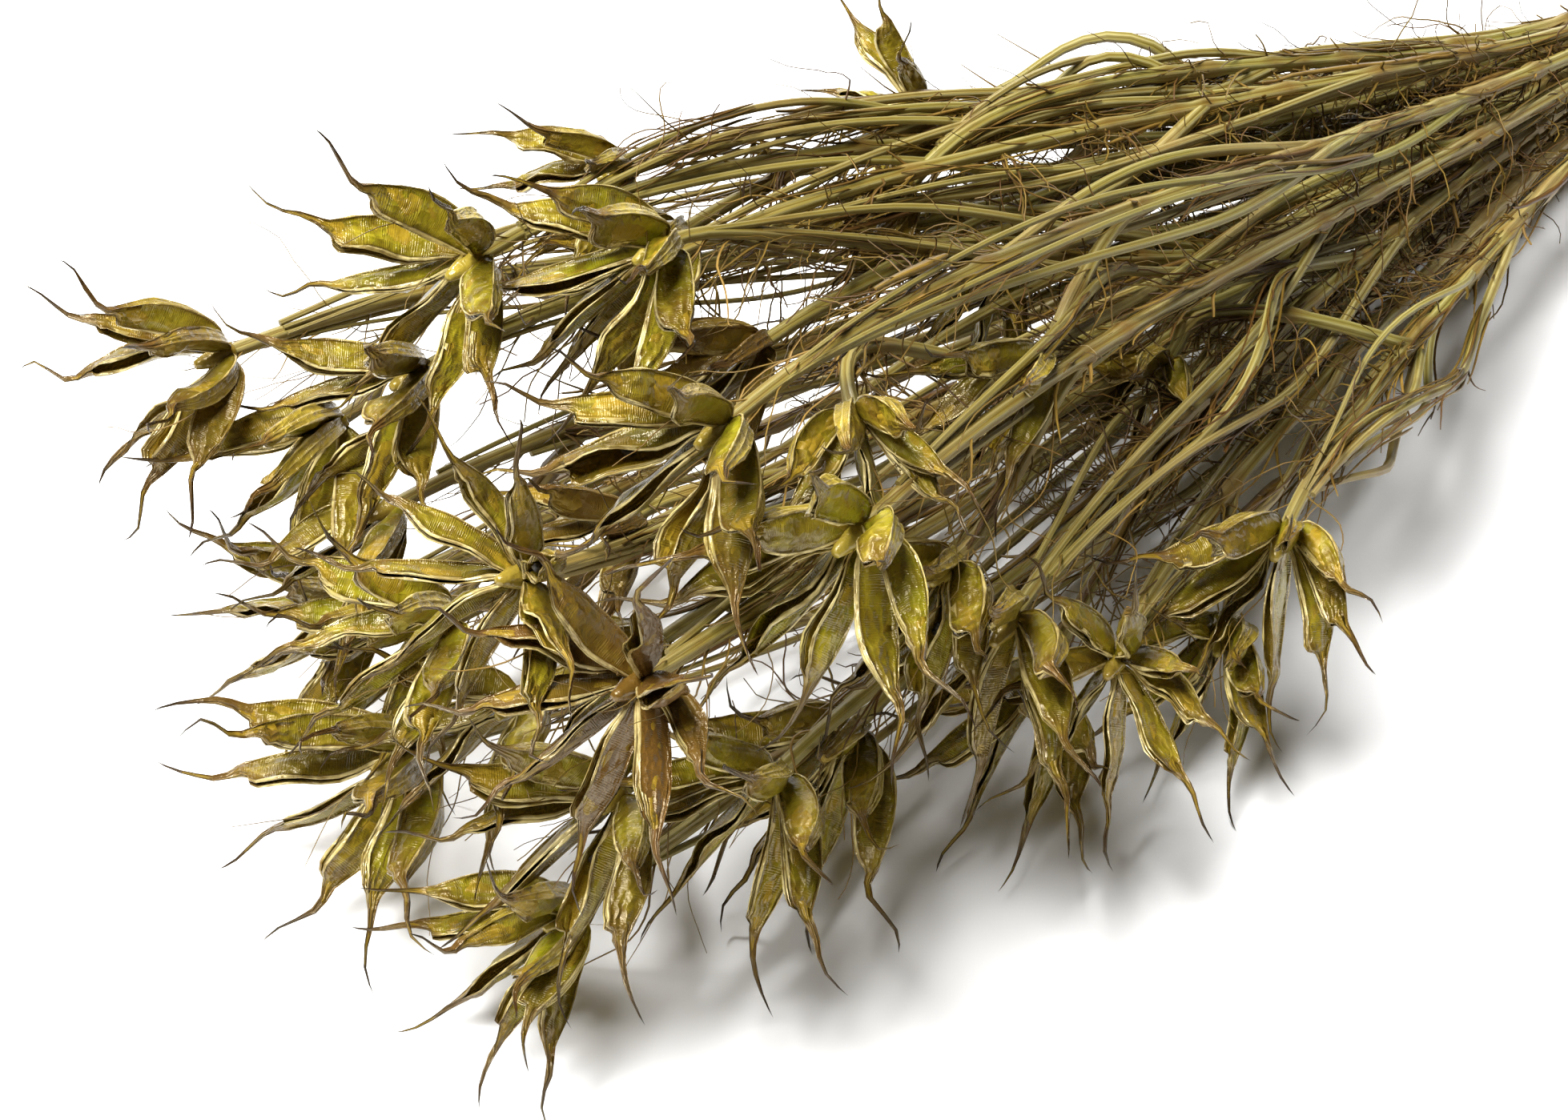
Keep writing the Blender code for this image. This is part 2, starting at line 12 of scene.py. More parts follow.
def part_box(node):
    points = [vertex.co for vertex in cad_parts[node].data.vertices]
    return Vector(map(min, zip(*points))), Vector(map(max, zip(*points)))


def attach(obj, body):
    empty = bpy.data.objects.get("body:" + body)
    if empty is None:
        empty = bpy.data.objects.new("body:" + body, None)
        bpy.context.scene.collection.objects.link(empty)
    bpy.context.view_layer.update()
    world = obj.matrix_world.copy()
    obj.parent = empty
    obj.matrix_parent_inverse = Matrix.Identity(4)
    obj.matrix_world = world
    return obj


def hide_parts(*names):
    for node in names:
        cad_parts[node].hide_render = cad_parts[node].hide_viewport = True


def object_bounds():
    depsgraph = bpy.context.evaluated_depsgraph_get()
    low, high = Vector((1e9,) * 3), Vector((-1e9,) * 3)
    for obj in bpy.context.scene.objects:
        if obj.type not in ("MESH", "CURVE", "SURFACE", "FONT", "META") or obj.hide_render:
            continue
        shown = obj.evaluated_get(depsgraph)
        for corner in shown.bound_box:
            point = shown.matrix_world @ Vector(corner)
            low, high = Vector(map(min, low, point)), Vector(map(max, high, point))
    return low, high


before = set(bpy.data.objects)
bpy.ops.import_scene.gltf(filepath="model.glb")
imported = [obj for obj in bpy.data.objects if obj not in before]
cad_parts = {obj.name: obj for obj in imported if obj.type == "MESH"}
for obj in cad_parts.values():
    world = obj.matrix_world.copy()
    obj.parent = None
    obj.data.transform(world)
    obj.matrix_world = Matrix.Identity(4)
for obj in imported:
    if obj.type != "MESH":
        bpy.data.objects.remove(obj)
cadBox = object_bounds()
print("frame loaded:", len(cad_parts), "nodes")

mm = 0.001
tieLow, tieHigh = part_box("tie")
layoutShift = Vector(((tieLow.x + tieHigh.x) / 2, (tieLow.y + tieHigh.y) / 2, 0))


def inFrame(point):
    # from the layout, in millimetres from the tie, to the frame in metres
    return point * mm + layoutShift


# The bunch's layout: one line for each seed head, with its stem, the place of its foot (out, side, up),
# where it points (turn, rise), its size, its pods, how far they open, where its branch forks, its bow.
HeadPlan = namedtuple("HeadPlan", "name stem out side up turn rise size pods open fork bow")
headPlans = [HeadPlan(*line) for line in (
    ("head_01", 1, 165, 43, 60, -26, 14, 0.74, 8, 60, 0, (0, 0)),
    ("head_02", 2, 232, 46, 84, -6, 8, 0.78, 7, 40, 0, (0, 0)),
    ("head_03", 2, 227, 39, 72, 0, 2, 0.86, 7, 42, 0.55, (0, 0)),
    ("head_04", 3, 192, 21, 72, 6, -14, 0.76, 6, 34, 0, (0, 0)),
    ("head_05", 3, 175, 15, 47, 24, -8, 0.7, 6, 32, 0.5, (0, 0)),
    ("head_06", 4, 297, 66, 75, -10, 4, 0.96, 8, 42, 0, (0, 0)),
    ("head_07", 4, 288, 52, 64, -2, -4, 0.98, 8, 46, 0.72, (0, 0)),
    ("head_08", 5, 280, 41, 76, 2, 6, 1.0, 8, 44, 0, (0, 0)),
    ("head_09", 6, 270, 38, 94, 4, 4, 1.0, 8, 50, 0, (0, 0)),
    ("head_10", 7, 248, 20, 94, 2, 4, 1.04, 9, 46, 0, (-26, -22)),
    ("head_11", 7, 254, -24, 92, 54, -6, 0.82, 8, 36, 0.38, (-36, -10)),
    ("head_12", 8, 236, 11, 72, 0, 2, 0.9, 7, 36, 0, (0, 0)),
    ("head_13", 9, 242, 26, 84, -2, 8, 0.9, 7, 40, 0, (0, 0)),
    ("head_14", 10, 277, -22, 104, 4, 0, 1.04, 9, 46, 0, (0, 6)),
    ("head_15", 10, 214, -26, 78, 18, -2, 0.9, 8, 38, 0.5, (0, 0)),
    ("head_16", 11, 267, -39, 88, 8, 2, 1.1, 9, 48, 0, (0, 4)),
    ("head_17", 11, 244, -36, 62, 10, 6, 0.96, 8, 40, 0.62, (0, 0)),
    ("head_18", 12, 309, -13, 90, 6, 30, 0.92, 9, 58, 0, (0, 4)),
    ("head_19", 12, 278, -2, 72, 2, 10, 0.8, 7, 40, 0.62, (0, 0)),
    ("head_20", 13, 289, 39, 55, -4, 4, 0.92, 8, 40, 0, (0, 0)),
    ("head_21", 13, 291, 30, 38, 0, -4, 0.96, 8, 44, 0.7, (0, 0)),
    ("head_22", 14, 286, 54, 22, -6, 8, 1.0, 8, 42, 0, (0, 0)),
    ("head_23", 14, 304, 9, 62, -2, 10, 0.96, 8, 44, 0.66, (0, 0)),
    ("head_24", 15, 303, 23, 21, -8, 6, 1.16, 9, 46, 0, (0, 0)),
    ("head_25", 15, 297, 2, 45, 2, 4, 0.96, 8, 42, 0.68, (0, 0)),
    ("head_26", 16, 307, -18, 21, 0, 4, 1.02, 9, 42, 0, (0, 0)),
    ("head_27", 16, 299, -20, 42, 4, 6, 1.0, 8, 42, 0.7, (0, 0)),
    ("head_28", 17, 253, -25, 24, 10, 0, 1.06, 8, 40, 0, (0, 0)),
    ("head_29", 17, 280, -34, 42, 10, 6, 1.0, 8, 44, 0.64, (0, 0)),
    ("head_30", 18, 308, -35, 84, 10, 20, 0.98, 9, 54, 0, (0, 4)),
    ("head_31", 18, 283, -12, 56, 6, 8, 0.92, 7, 40, 0.6, (0, 0)),
    ("head_32", 19, 241, -46, 56, 14, -4, 1.06, 9, 48, 0, (0, 4)),
    ("head_33", 19, 223, -38, 22, 22, 2, 1.0, 8, 38, 0.58, (0, 0)),
    ("head_34", 20, 227, -55, 42, 26, 14, 0.88, 9, 54, 0, (0, 0)),
    ("head_35", 20, 193, -51, 20, 26, 4, 0.92, 8, 38, 0.6, (0, 0)),
    ("head_36", 21, 187, -56, 42, 24, -2, 1.0, 9, 44, 0, (-8, 2)),
    ("head_37", 21, 176, -22, 50, 18, 0, 0.72, 6, 34, 0.55, (0, 0)),
)]
stemNumbers = sorted({head.stem for head in headPlans})

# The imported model's own numbers that this script repeats to find stems and pods, in millimetres and degrees
packed = {
    "stemRadius": 1.6, "neckRadius": 1.2, "branchRadius": 1.25,
    "slotPitch": 3.85, "slotRows": 5, "slotShift": (-0.25, 0.1), "bundleAir": 0.35,
    "cutLength": 118.0, "cutRagged": 9.0, "flare": 0.75,
    "stemSteps": 6, "branchSteps": 4, "neckLength": 3.0, "seatGap": 0.3, "routesTried": 600,
    "leave": 0.34, "followStem": 1.6, "stemArrive": 0.2, "stemBow": 0.4,
    "branchArrive": 0.26, "branchBow": 0.3, "swayAlong": 0.3, "swayMost": 0.12, "swayAside": 0.1,
    "leavesPerStem": 3, "leavesTried": 14, "leafRadius": 0.42, "leafLength": (16.0, 34.0),
    "leafFrom": 0.22, "leafSpread": 0.6, "leafLean": (0.25, 0.75), "leafRise": 1.3, "leafArch": 0.25,
    "tieWidth": 9.0, "tieThickness": 1.5, "tieFlat": 0.82, "floorGap": 0.3,
    "podsTried": 30, "podRise": 1.2, "podAside": 0.8, "beakStart": 22.0, "beakTip": 34.0,
    "podTurn": 4, "podTurnMore": 0.12, "podOpening": 6, "podClosing": 1.2, "podSize": (0.92, 1.06),
    "podCurl": (-1.5, 6.0), "podBend": 3.0, "podTwist": 14,
}


# Layout

verySmall = 0.000001


def tieSlots(count):
    lattice = []
    pitch, rows = packed["slotPitch"], packed["slotRows"]
    shiftSide, shiftUp = packed["slotShift"]
    for row in range(-rows, rows + 1):
        for column in range(-rows, rows + 1):
            side = (column + 0.5 * (row % 2)) * pitch
            up = row * pitch * math.sqrt(0.75)
            lattice.append((side + shiftSide * pitch, up + shiftUp * pitch))
    lattice.sort(key=lambda slot: math.hypot(*slot))
    return lattice[:count]


def evened(values):
    middle = sum(values) / len(values)
    spread = math.sqrt(sum((value - middle) ** 2 for value in values) / len(values))
    return [(value - middle) / spread for value in values]


def shareSlots():
    # each stem gets the slot in the tie that lies most as its head lies in the bunch
    own = [head for stem in stemNumbers for head in headPlans if head.stem == stem and head.fork == 0]
    wishes = list(zip(evened([(head.side + head.bow[0]) / head.out for head in own]),
                      evened([(head.up + head.bow[1]) / head.out for head in own])))
    slots = tieSlots(len(stemNumbers))
    places = list(zip(evened([slot[0] for slot in slots]), evened([slot[1] for slot in slots])))
    given = list(range(len(stemNumbers)))

    def cost(stem, place):
        return math.dist(wishes[stem], places[place]) ** 2

    swapped = True
    while swapped:
        swapped = False
        for one in given[:]:
            for other in range(one):
                now = cost(one, given[one]) + cost(other, given[other])
                if cost(one, given[other]) + cost(other, given[one]) < now - verySmall:
                    given[one], given[other] = given[other], given[one]
                    swapped = True
    return {stem: slots[place] for stem, place in zip(stemNumbers, given)}


slots = shareSlots()
bundleRadius = max(math.hypot(*slot) for slot in slots.values()) + packed["stemRadius"] + packed["bundleAir"]
tieRadius = bundleRadius + packed["tieThickness"]
tieHeight = tieRadius * packed["tieFlat"] + packed["tieThickness"]


def headAxis(head):
    turn, rise = math.radians(head.turn), math.radians(head.rise)
    return Vector((-math.cos(turn) * math.cos(rise), -math.sin(turn) * math.cos(rise), math.sin(rise)))


def axisFrame(axis):
    # two directions square to an axis and to each other, the first of them level
    across = axis.cross(Vector((0, 0, 1))).normalized()
    return across, across.cross(axis)


def headFoot(head):
    return Vector((-head.out, head.side, head.up))


def headSeat(head):
    return headFoot(head) - headAxis(head) * packed["seatGap"]


def neckStart(head):
    return headSeat(head) - headAxis(head) * packed["neckLength"]


def bezierPoint(handles, t):
    start, startHandle, endHandle, end = handles
    return (start * (1 - t) ** 3 + startHandle * 3 * t * (1 - t) ** 2
            + endHandle * 3 * t * t * (1 - t) + end * t ** 3)


def bezierPoints(handles, steps):
    return [bezierPoint(handles, step / steps) for step in range(steps + 1)]


def sway(key, tried, span):
    draw = random.Random(f"{key}/{tried}")
    aside = packed["swayAside"] * tried
    along = min(packed["swayMost"] * span, packed["swayAlong"] * tried)
    return Vector((draw.uniform(-along, along), draw.uniform(-aside, aside), draw.uniform(-aside, aside)))


def handlesTo(head, start, ahead, arrive, bowShare, tried):
    # a smooth way from a start, leaving it ahead, to the head's neck
    end = neckStart(head)
    span = (end - start).length
    leave = (ahead + (end - start) / span).normalized()
    bow = Vector((0, *head.bow))
    return (start, start + leave * span * packed["leave"] + bow + sway(head.name + "/a", tried, span),
            end - headAxis(head) * span * arrive + bow * bowShare + sway(head.name + "/b", tried, span), end)


def stemHandles(head, tried):
    side, up = slots[head.stem]
    start = Vector((-packed["tieWidth"], side, tieHeight + up))
    return handlesTo(head, start, Vector((-1, 0, 0)), packed["stemArrive"], packed["stemBow"], tried)


def branchHandles(head, stemPoints, tried):
    place = head.fork * (len(stemPoints) - 1)
    index = int(place)
    before, after = stemPoints[index], stemPoints[index + 1]
    ahead = (after - before).normalized() * packed["followStem"]
    start = before.lerp(after, place - index)
    return handlesTo(head, start, ahead, packed["branchArrive"], packed["branchBow"], tried)


def cutPoint(stem):
    side, up = slots[stem]
    draw = random.Random(f"cut/{stem}")
    length = packed["cutLength"] + draw.uniform(-packed["cutRagged"], packed["cutRagged"])
    grow = 1 + packed["flare"]
    rise = bundleRadius * grow + packed["floorGap"] - tieHeight
    return Vector((length, side * grow, tieHeight + up * grow + rise))


def anyWay(draw):
    return Vector((draw.uniform(-1, 1), draw.uniform(-1, 1), draw.uniform(-1, 1)))


def leafPoints(stem, points, number, tried):
    draw = random.Random(f"leaf/{stem}/{number}/{tried}")
    share = packed["leafFrom"] + packed["leafSpread"] * (number + draw.random()) / packed["leavesPerStem"]
    place = share * (len(points) - 1)
    index = min(int(place), len(points) - 2)
    start = points[index].lerp(points[index + 1], place - index)
    forward = (points[index + 1] - points[index]).normalized()
    away = anyWay(draw)
    away = (away - forward * away.dot(forward)).normalized()
    length = draw.uniform(*packed["leafLength"])
    lean = draw.uniform(*packed["leafLean"])
    turn = forward.cross(away)
    arch = draw.uniform(-packed["leafArch"], packed["leafArch"])
    return [start + forward * length * reach + away * length * lean * reach ** packed["leafRise"]
            + turn * length * arch * reach ** 2 for reach in (0.0, 0.25, 0.5, 0.75, 1.0)]


def podPlan(head, number, tried):
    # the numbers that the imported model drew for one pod
    draw = random.Random(f"{head.name}/{number}/{tried}")
    loosen = 1 + packed["podTurnMore"] * tried
    roundAxis = 360 / head.pods * (number + 0.5) + packed["podTurn"] * loosen * draw.uniform(-1, 1)
    opening = head.open + packed["podOpening"] * draw.uniform(-1, 1)
    opening -= packed["podClosing"] * tried * draw.random()
    size = head.size * draw.uniform(*packed["podSize"])
    curl = draw.uniform(*packed["podCurl"])
    bend = draw.uniform(-packed["podBend"], packed["podBend"])
    twist = math.radians(draw.uniform(-packed["podTwist"], packed["podTwist"]))
    axis = headAxis(head)
    across, level = axisFrame(axis)
    turned, opened = math.radians(roundAxis), math.radians(opening)
    outward = across * math.cos(turned) + level * math.sin(turned)
    along = axis * math.cos(opened) + outward * math.sin(opened)
    back = outward * math.cos(opened) - axis * math.sin(opened)
    root = headFoot(head) + axis * packed["podRise"] * head.size + outward * packed["podAside"] * head.size
    return {"root": root, "along": along, "back": back, "beside": along.cross(back),
            "size": size, "curl": curl, "bend": bend, "twist": twist}


def podPlace(pod, length, rise, width):
    # a place on a pod: along it, towards its outer band and to its side
    beak = max(0.0, (length - packed["beakStart"]) / (packed["beakTip"] - packed["beakStart"]))
    turn = pod["twist"] * min(1.0, length / packed["beakStart"])
    tilted = pod["back"] * (rise * math.cos(turn) - width * math.sin(turn))
    spread = pod["beside"] * (rise * math.sin(turn) + width * math.cos(turn))
    bent = pod["back"] * pod["curl"] * beak ** 2 + pod["beside"] * pod["bend"] * beak ** 2
    return pod["root"] + (pod["along"] * length + tilted + spread + bent) * pod["size"]


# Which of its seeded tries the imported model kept, read off the nodes' own vertices

# how near a try has to come to a node's corners, in metres, and how many corners a section has there
matching = {"route": 0.00002, "leaf": 0.00003, "pod": 0.00002, "stemCorners": 6, "leafCorners": 4}


def nodeTree(node):
    places = {tuple(round(value, 6) for value in vertex.co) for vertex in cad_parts[node].data.vertices}
    tree = KDTree(len(places))
    for index, place in enumerate(places):
        tree.insert(place, index)
    tree.balance()
    return tree


def ringError(tree, point, count):
    found = [place for place, index, distance in tree.find_n(inFrame(point), count)]
    return (sum(found, Vector()) / len(found) - inFrame(point)).length


def routeError(tree, points, count):
    errors = sorted(ringError(tree, point, count) for point in points)
    return errors[len(errors) // 2]


ownHeads = {stem: sorted((head for head in headPlans if head.stem == stem), key=lambda head: head.fork)
            for stem in stemNumbers}
stemRoutes, branchRoutes, foundLeaves = {}, {}, {}
worstError = 0.0
for stem in stemNumbers:
    tree = nodeTree(f"stem_{stem:02d}")
    coarse = []
    for head in ownHeads[stem]:
        best = None
        for tried in range(packed["routesTried"]):
            handles = branchHandles(head, coarse, tried) if head.fork else stemHandles(head, tried)
            points = bezierPoints(handles, packed["branchSteps" if head.fork else "stemSteps"])
            error = routeError(tree, points[1:], matching["stemCorners"])
            if best is None or error < best[0]:
                best = (error, handles, points)
            if error < matching["route"]:
                break
        worstError = max(worstError, best[0])
        if head.fork:
            branchRoutes[head.name] = best[1]
        else:
            stemRoutes[stem] = best[1]
            coarse = best[2] + [headSeat(head)]
    foundLeaves[stem] = []
    for number in range(packed["leavesPerStem"]):
        for tried in range(packed["leavesTried"]):
            leaf = leafPoints(stem, coarse, number, tried)
            if ringError(tree, leaf[-1], matching["leafCorners"]) < matching["leaf"]:
                foundLeaves[stem].append(leaf)
                break
print("stems found:", len(stemRoutes), "and", len(branchRoutes), "branches, off by",
      round(worstError / mm, 4), "mm at most, with",
      sum(len(leaves) for leaves in foundLeaves.values()), "leaves")

headPods = {}
for head in headPlans:
    tree = nodeTree(head.name)
    headPods[head.name] = []
    for number in range(head.pods):
        for tried in range(packed["podsTried"]):
            pod = podPlan(head, number, tried)
            if tree.find(inFrame(podPlace(pod, packed["beakTip"], 0, 0)))[2] < matching["pod"]:
                pod["number"] = number
                headPods[head.name].append(pod)
                break
print("pods found:", sum(len(pods) for pods in headPods.values()))


# Helpers for node trees and meshes

def addNode(tree, kind, feeds=None, **settings):
    made = tree.nodes.new(kind)
    made.location = (180 * (len(tree.nodes) % 24), -260 * (len(tree.nodes) // 24))
    for key, value in settings.items():
        setattr(made, key, value)
    for key, value in (feeds or {}).items():
        found = [socket for socket in made.inputs
                 if key in (socket.identifier, socket.name) and socket.enabled]
        socket = made.inputs[key] if isinstance(key, int) else found[0]
        if isinstance(value, bpy.types.NodeSocket):
            tree.links.new(value, socket)
        else:
            socket.default_value = value
    return made


def calc(tree, operation, *values, clamp=False):
    return addNode(tree, "ShaderNodeMath", dict(enumerate(values)), operation=operation,
                   use_clamp=clamp).outputs[0]


def plus(tree, first, *others):
    for other in others:
        first = calc(tree, "ADD", first, other)
    return first


def minus(tree, one, other):
    return calc(tree, "SUBTRACT", one, other)


def times(tree, first, *others, clamp=False):
    for other in others:
        first = calc(tree, "MULTIPLY", first, other, clamp=clamp)
    return first


def vecPlus(tree, first, *others):
    for other in others:
        first = addNode(tree, "ShaderNodeVectorMath", {0: first, 1: other}, operation="ADD").outputs[0]
    return first


def vecTimes(tree, one, amount):
    return addNode(tree, "ShaderNodeVectorMath", {"Vector": one, "Scale": amount},
                   operation="SCALE").outputs[0]


def combined(tree, x=0.0, y=0.0, z=0.0):
    return addNode(tree, "ShaderNodeCombineXYZ", {"X": x, "Y": y, "Z": z}).outputs[0]


def separated(tree, vector):
    return addNode(tree, "ShaderNodeSeparateXYZ", {"Vector": vector}).outputs


def noise(tree, place, scale, detail, output="Fac", more=None):
    feeds = {"Vector": place, "Scale": scale, "Detail": detail, **(more or {})}
    return addNode(tree, "ShaderNodeTexNoise", feeds).outputs[output]


def cells(tree, place, scale):
    return addNode(tree, "ShaderNodeTexVoronoi", {"Vector": place, "Scale": scale}).outputs["Distance"]


def named(tree, name, kind="FLOAT"):
    return addNode(tree, "GeometryNodeInputNamedAttribute", {"Name": name}, data_type=kind).outputs[0]


def namedVector(tree, name):
    return named(tree, name, "FLOAT_VECTOR")


def joined(tree, parts):
    made = addNode(tree, "GeometryNodeJoinGeometry")
    for part in parts:
        tree.links.new(part, made.inputs[0])
    return made.outputs[0]


def dressed(tree, geometry, material):
    # smooth shaded, made plain mesh and given its material
    geometry = addNode(tree, "GeometryNodeSetShadeSmooth", {"Geometry": geometry}).outputs[0]
    geometry = addNode(tree, "GeometryNodeRealizeInstances", {"Geometry": geometry}).outputs[0]
    return addNode(tree, "GeometryNodeSetMaterial", {"Geometry": geometry, "Material": material}).outputs[0]


def geometryTree(name, inputs):
    tree = bpy.data.node_groups.new(name, "GeometryNodeTree")
    tree.interface.new_socket("Geometry", in_out="INPUT", socket_type="NodeSocketGeometry")
    for title, (kind, value) in inputs.items():
        socket = tree.interface.new_socket(title, in_out="INPUT", socket_type="NodeSocket" + kind)
        if value is not None:
            socket.default_value = value
    tree.interface.new_socket("Geometry", in_out="OUTPUT", socket_type="NodeSocketGeometry")
    return tree, addNode(tree, "NodeGroupInput").outputs


def runTree(piece, tree, values):
    # puts the tree on the piece, sets its inputs and returns the finished plain mesh
    modifier = piece.modifiers.new(tree.name, "NODES")
    modifier.node_group = tree
    for item in tree.interface.items_tree:
        if item.item_type == "SOCKET" and item.in_out == "INPUT" and item.name in values:
            modifier[item.identifier] = values[item.name]
    bpy.context.view_layer.update()
    made = bpy.data.meshes.new_from_object(piece.evaluated_get(bpy.context.evaluated_depsgraph_get()))
    piece.modifiers.remove(modifier)
    return made


def addObject(name, data):
    piece = bpy.data.objects.new(name, data)
    bpy.context.scene.collection.objects.link(piece)
    return piece


def meshOf(name, shape):
    mesh = bpy.data.meshes.new(name)
    shape.to_mesh(mesh)
    shape.free()
    return mesh


def setAttributes(mesh, kind, columns):
    for name, values in columns.items():
        layer = mesh.attributes.new(name, kind, "POINT")
        flat = [part for value in values for part in value] if kind == "FLOAT_VECTOR" else values
        layer.data.foreach_set("vector" if kind == "FLOAT_VECTOR" else "value", flat)


def planFrom(name, points, edges, faces, vectors, numbers, flags):
    # a plain mesh of points with what the tree has to know of each one
    mesh = bpy.data.meshes.new(name)
    mesh.from_pydata([point["co"] for point in points], edges, faces)
    for kind, titles, missing in (("FLOAT_VECTOR", vectors, (0, 0, 0)), ("FLOAT", numbers, 0.0),
                                  ("BOOLEAN", flags, False)):
        values = {title: [point.get(title, missing) for point in points] for title in titles}
        setAttributes(mesh, kind, values)
    return addObject(name, mesh)


def clamped(low, value, high):
    return max(low, min(high, value))


def discard(piece):
    mesh = piece.data
    bpy.data.objects.remove(piece, do_unlink=True)
    bpy.data.meshes.remove(mesh)


def keepOffFloor(mesh, low=0.00015):
    for vertex in mesh.vertices:
        vertex.co.z = max(vertex.co.z, low)


# Materials

def paint(red, green, blue):
    # a colour as a picture editor shows it
    return tuple(((part + 0.055) / 1.055) ** 2.4 if part > 0.04045 else part / 12.92
                 for part in (red, green, blue)) + (1.0,)


def newMaterial(name, **plain):
    material = bpy.data.materials.new(name)
    material.use_nodes = True
    shader = material.node_tree.nodes["Principled BSDF"]
    for key, value in plain.items():
        shader.inputs[key].default_value = value
    return material, material.node_tree, shader


def shaderGroup(name, inputs, outputs):
    tree = bpy.data.node_groups.new(name, "ShaderNodeTree")
    for title, (kind, value) in inputs.items():
        socket = tree.interface.new_socket(title, in_out="INPUT", socket_type="NodeSocket" + kind)
        socket.default_value = value
    for title in outputs:
        tree.interface.new_socket(title, in_out="OUTPUT", socket_type="NodeSocketFloat")
    return tree, addNode(tree, "NodeGroupInput").outputs


def useGroup(tree, group, feeds):
    made = tree.nodes.new("ShaderNodeGroup")
    made.node_tree = group
    for key, value in feeds.items():
        if isinstance(value, bpy.types.NodeSocket):
            tree.links.new(value, made.inputs[key])
        else:
            made.inputs[key].default_value = value
    return made.outputs


def attributes(tree, *names, output="Fac"):
    return [addNode(tree, "ShaderNodeAttribute", attribute_name=name).outputs[output] for name in names]


def objectPlace(tree):
    return addNode(tree, "ShaderNodeTexCoord").outputs["Object"]


def mixColour(tree, factor, one, other):
    return addNode(tree, "ShaderNodeMix", {"Factor_Float": factor, "A_Color": one, "B_Color": other},
                   data_type="RGBA").outputs[2]


def layered(tree, colour, paints, layers):
    # lays one paint after another over a colour, each as far as its share says
    for share, name in layers:
        colour = mixColour(tree, share, colour, paints[name])
    return colour


def ramp(tree, factor, stops):
    made = addNode(tree, "ShaderNodeValToRGB", {"Fac": factor})
    elements = made.color_ramp.elements
    while len(elements) < len(stops):
        elements.new(1.0)
    for element, (place, colour) in zip(elements, stops):
        element.position = place
        element.color = colour if isinstance(colour, tuple) else (colour, colour, colour, 1.0)
    return made.outputs["Color"]


def paintRamp(tree, factor, paints, stops):
    return ramp(tree, factor, [(place, paints[name]) for place, name in stops])


def rangeOf(tree, value, low, high, toLow=0.0, toHigh=1.0):
    return addNode(tree, "ShaderNodeMapRange", {"Value": value, "From Min": low, "From Max": high,
                                                "To Min": toLow, "To Max": toHigh}).outputs["Result"]


def bumped(tree, shader, height, form):
    bump = addNode(tree, "ShaderNodeBump", {
        "Strength": form["bump"], "Distance": form["bumpDepth"], "Height": height})
    tree.links.new(bump.outputs["Normal"], shader.inputs["Normal"])


def makeBlotches():
    # dried patches and small dark specks, for everything that grew
    tree, given = shaderGroup("dry blotches", {"Vector": ("Vector", (0, 0, 0)), "Size": ("Float", 100.0),
                                               "Spread": ("Float", 0.5)}, ("Patch", "Speck"))
    patch = noise(tree, given["Vector"], given["Size"], 5.0, more={"Roughness": 0.62})
    edge = minus(tree, 0.72, times(tree, given["Spread"], 0.34))
    fine = noise(tree, given["Vector"], times(tree, given["Size"], 9.0), 2.0)
    addNode(tree, "NodeGroupOutput", {"Patch": times(tree, minus(tree, patch, edge), 6.0, clamp=True),
                                      "Speck": times(tree, minus(tree, fine, 0.66), 9.0, clamp=True)})
    return tree


def makeFibres():
    # fine lines that run along a stem or a leaf
    tree, given = shaderGroup("fibres", {"Round": ("Vector", (0, 0, 0)), "Along": ("Float", 0.0),
                                         "Fineness": ("Float", 4.0), "Stretch": ("Float", 40.0)}, ("Line",))
    spread = vecTimes(tree, given["Round"], given["Fineness"])
    place = vecPlus(tree, spread, combined(tree, z=times(tree, given["Along"], given["Stretch"])))
    addNode(tree, "NodeGroupOutput", {"Line": noise(tree, place, 1.0, 4.0, more={"Roughness": 0.6})})
    return tree


blotches = makeBlotches()
fibres = makeFibres()

podPaint = {
    "band": paint(0.64, 0.56, 0.21), "ridge": paint(0.88, 0.80, 0.52), "wall": paint(0.55, 0.51, 0.07),
    "tan": paint(0.47, 0.37, 0.11), "groove": paint(0.21, 0.14, 0.02), "margin": paint(0.93, 0.86, 0.60),
    "lime": paint(0.69, 0.71, 0.10), "brown": paint(0.35, 0.24, 0.08), "beak": paint(0.37, 0.26, 0.12),
    "beakTip": paint(0.18, 0.11, 0.07), "inside": paint(0.58, 0.47, 0.12), "dry": paint(0.37, 0.26, 0.09),
    # the hollow paint is painted shade for the crumple's hollows; the vein paint also gives the painted
    # highlight on its folds
    "vein": paint(0.74, 0.66, 0.20), "darkVein": paint(0.35, 0.26, 0.04), "paintedHollowShade": paint(0.36, 0.29, 0.05),
    "sheen": paint(1.0, 0.94, 0.80),
}
podPattern = {
    # how fine each pattern is: on the pod's place, or along and across the pod
    "patches": 120.0, "spread": 0.6, "lime": 75.0, "tan": 48.0, "clouds": 230.0, "worn": 260.0,
    "grain": 900.0, "veins": 96.0, "veinsAcross": 9.0, "wave": 0.31, "faint": 0.3, "beak": 0.2,
    "net": 480.0, "bends": 300.0, "foldsAlong": 5.0, "foldsAcross": 9.0, "foldBend": 1.6,
    "bump": 0.8, "bumpDepth": 0.0007,
}


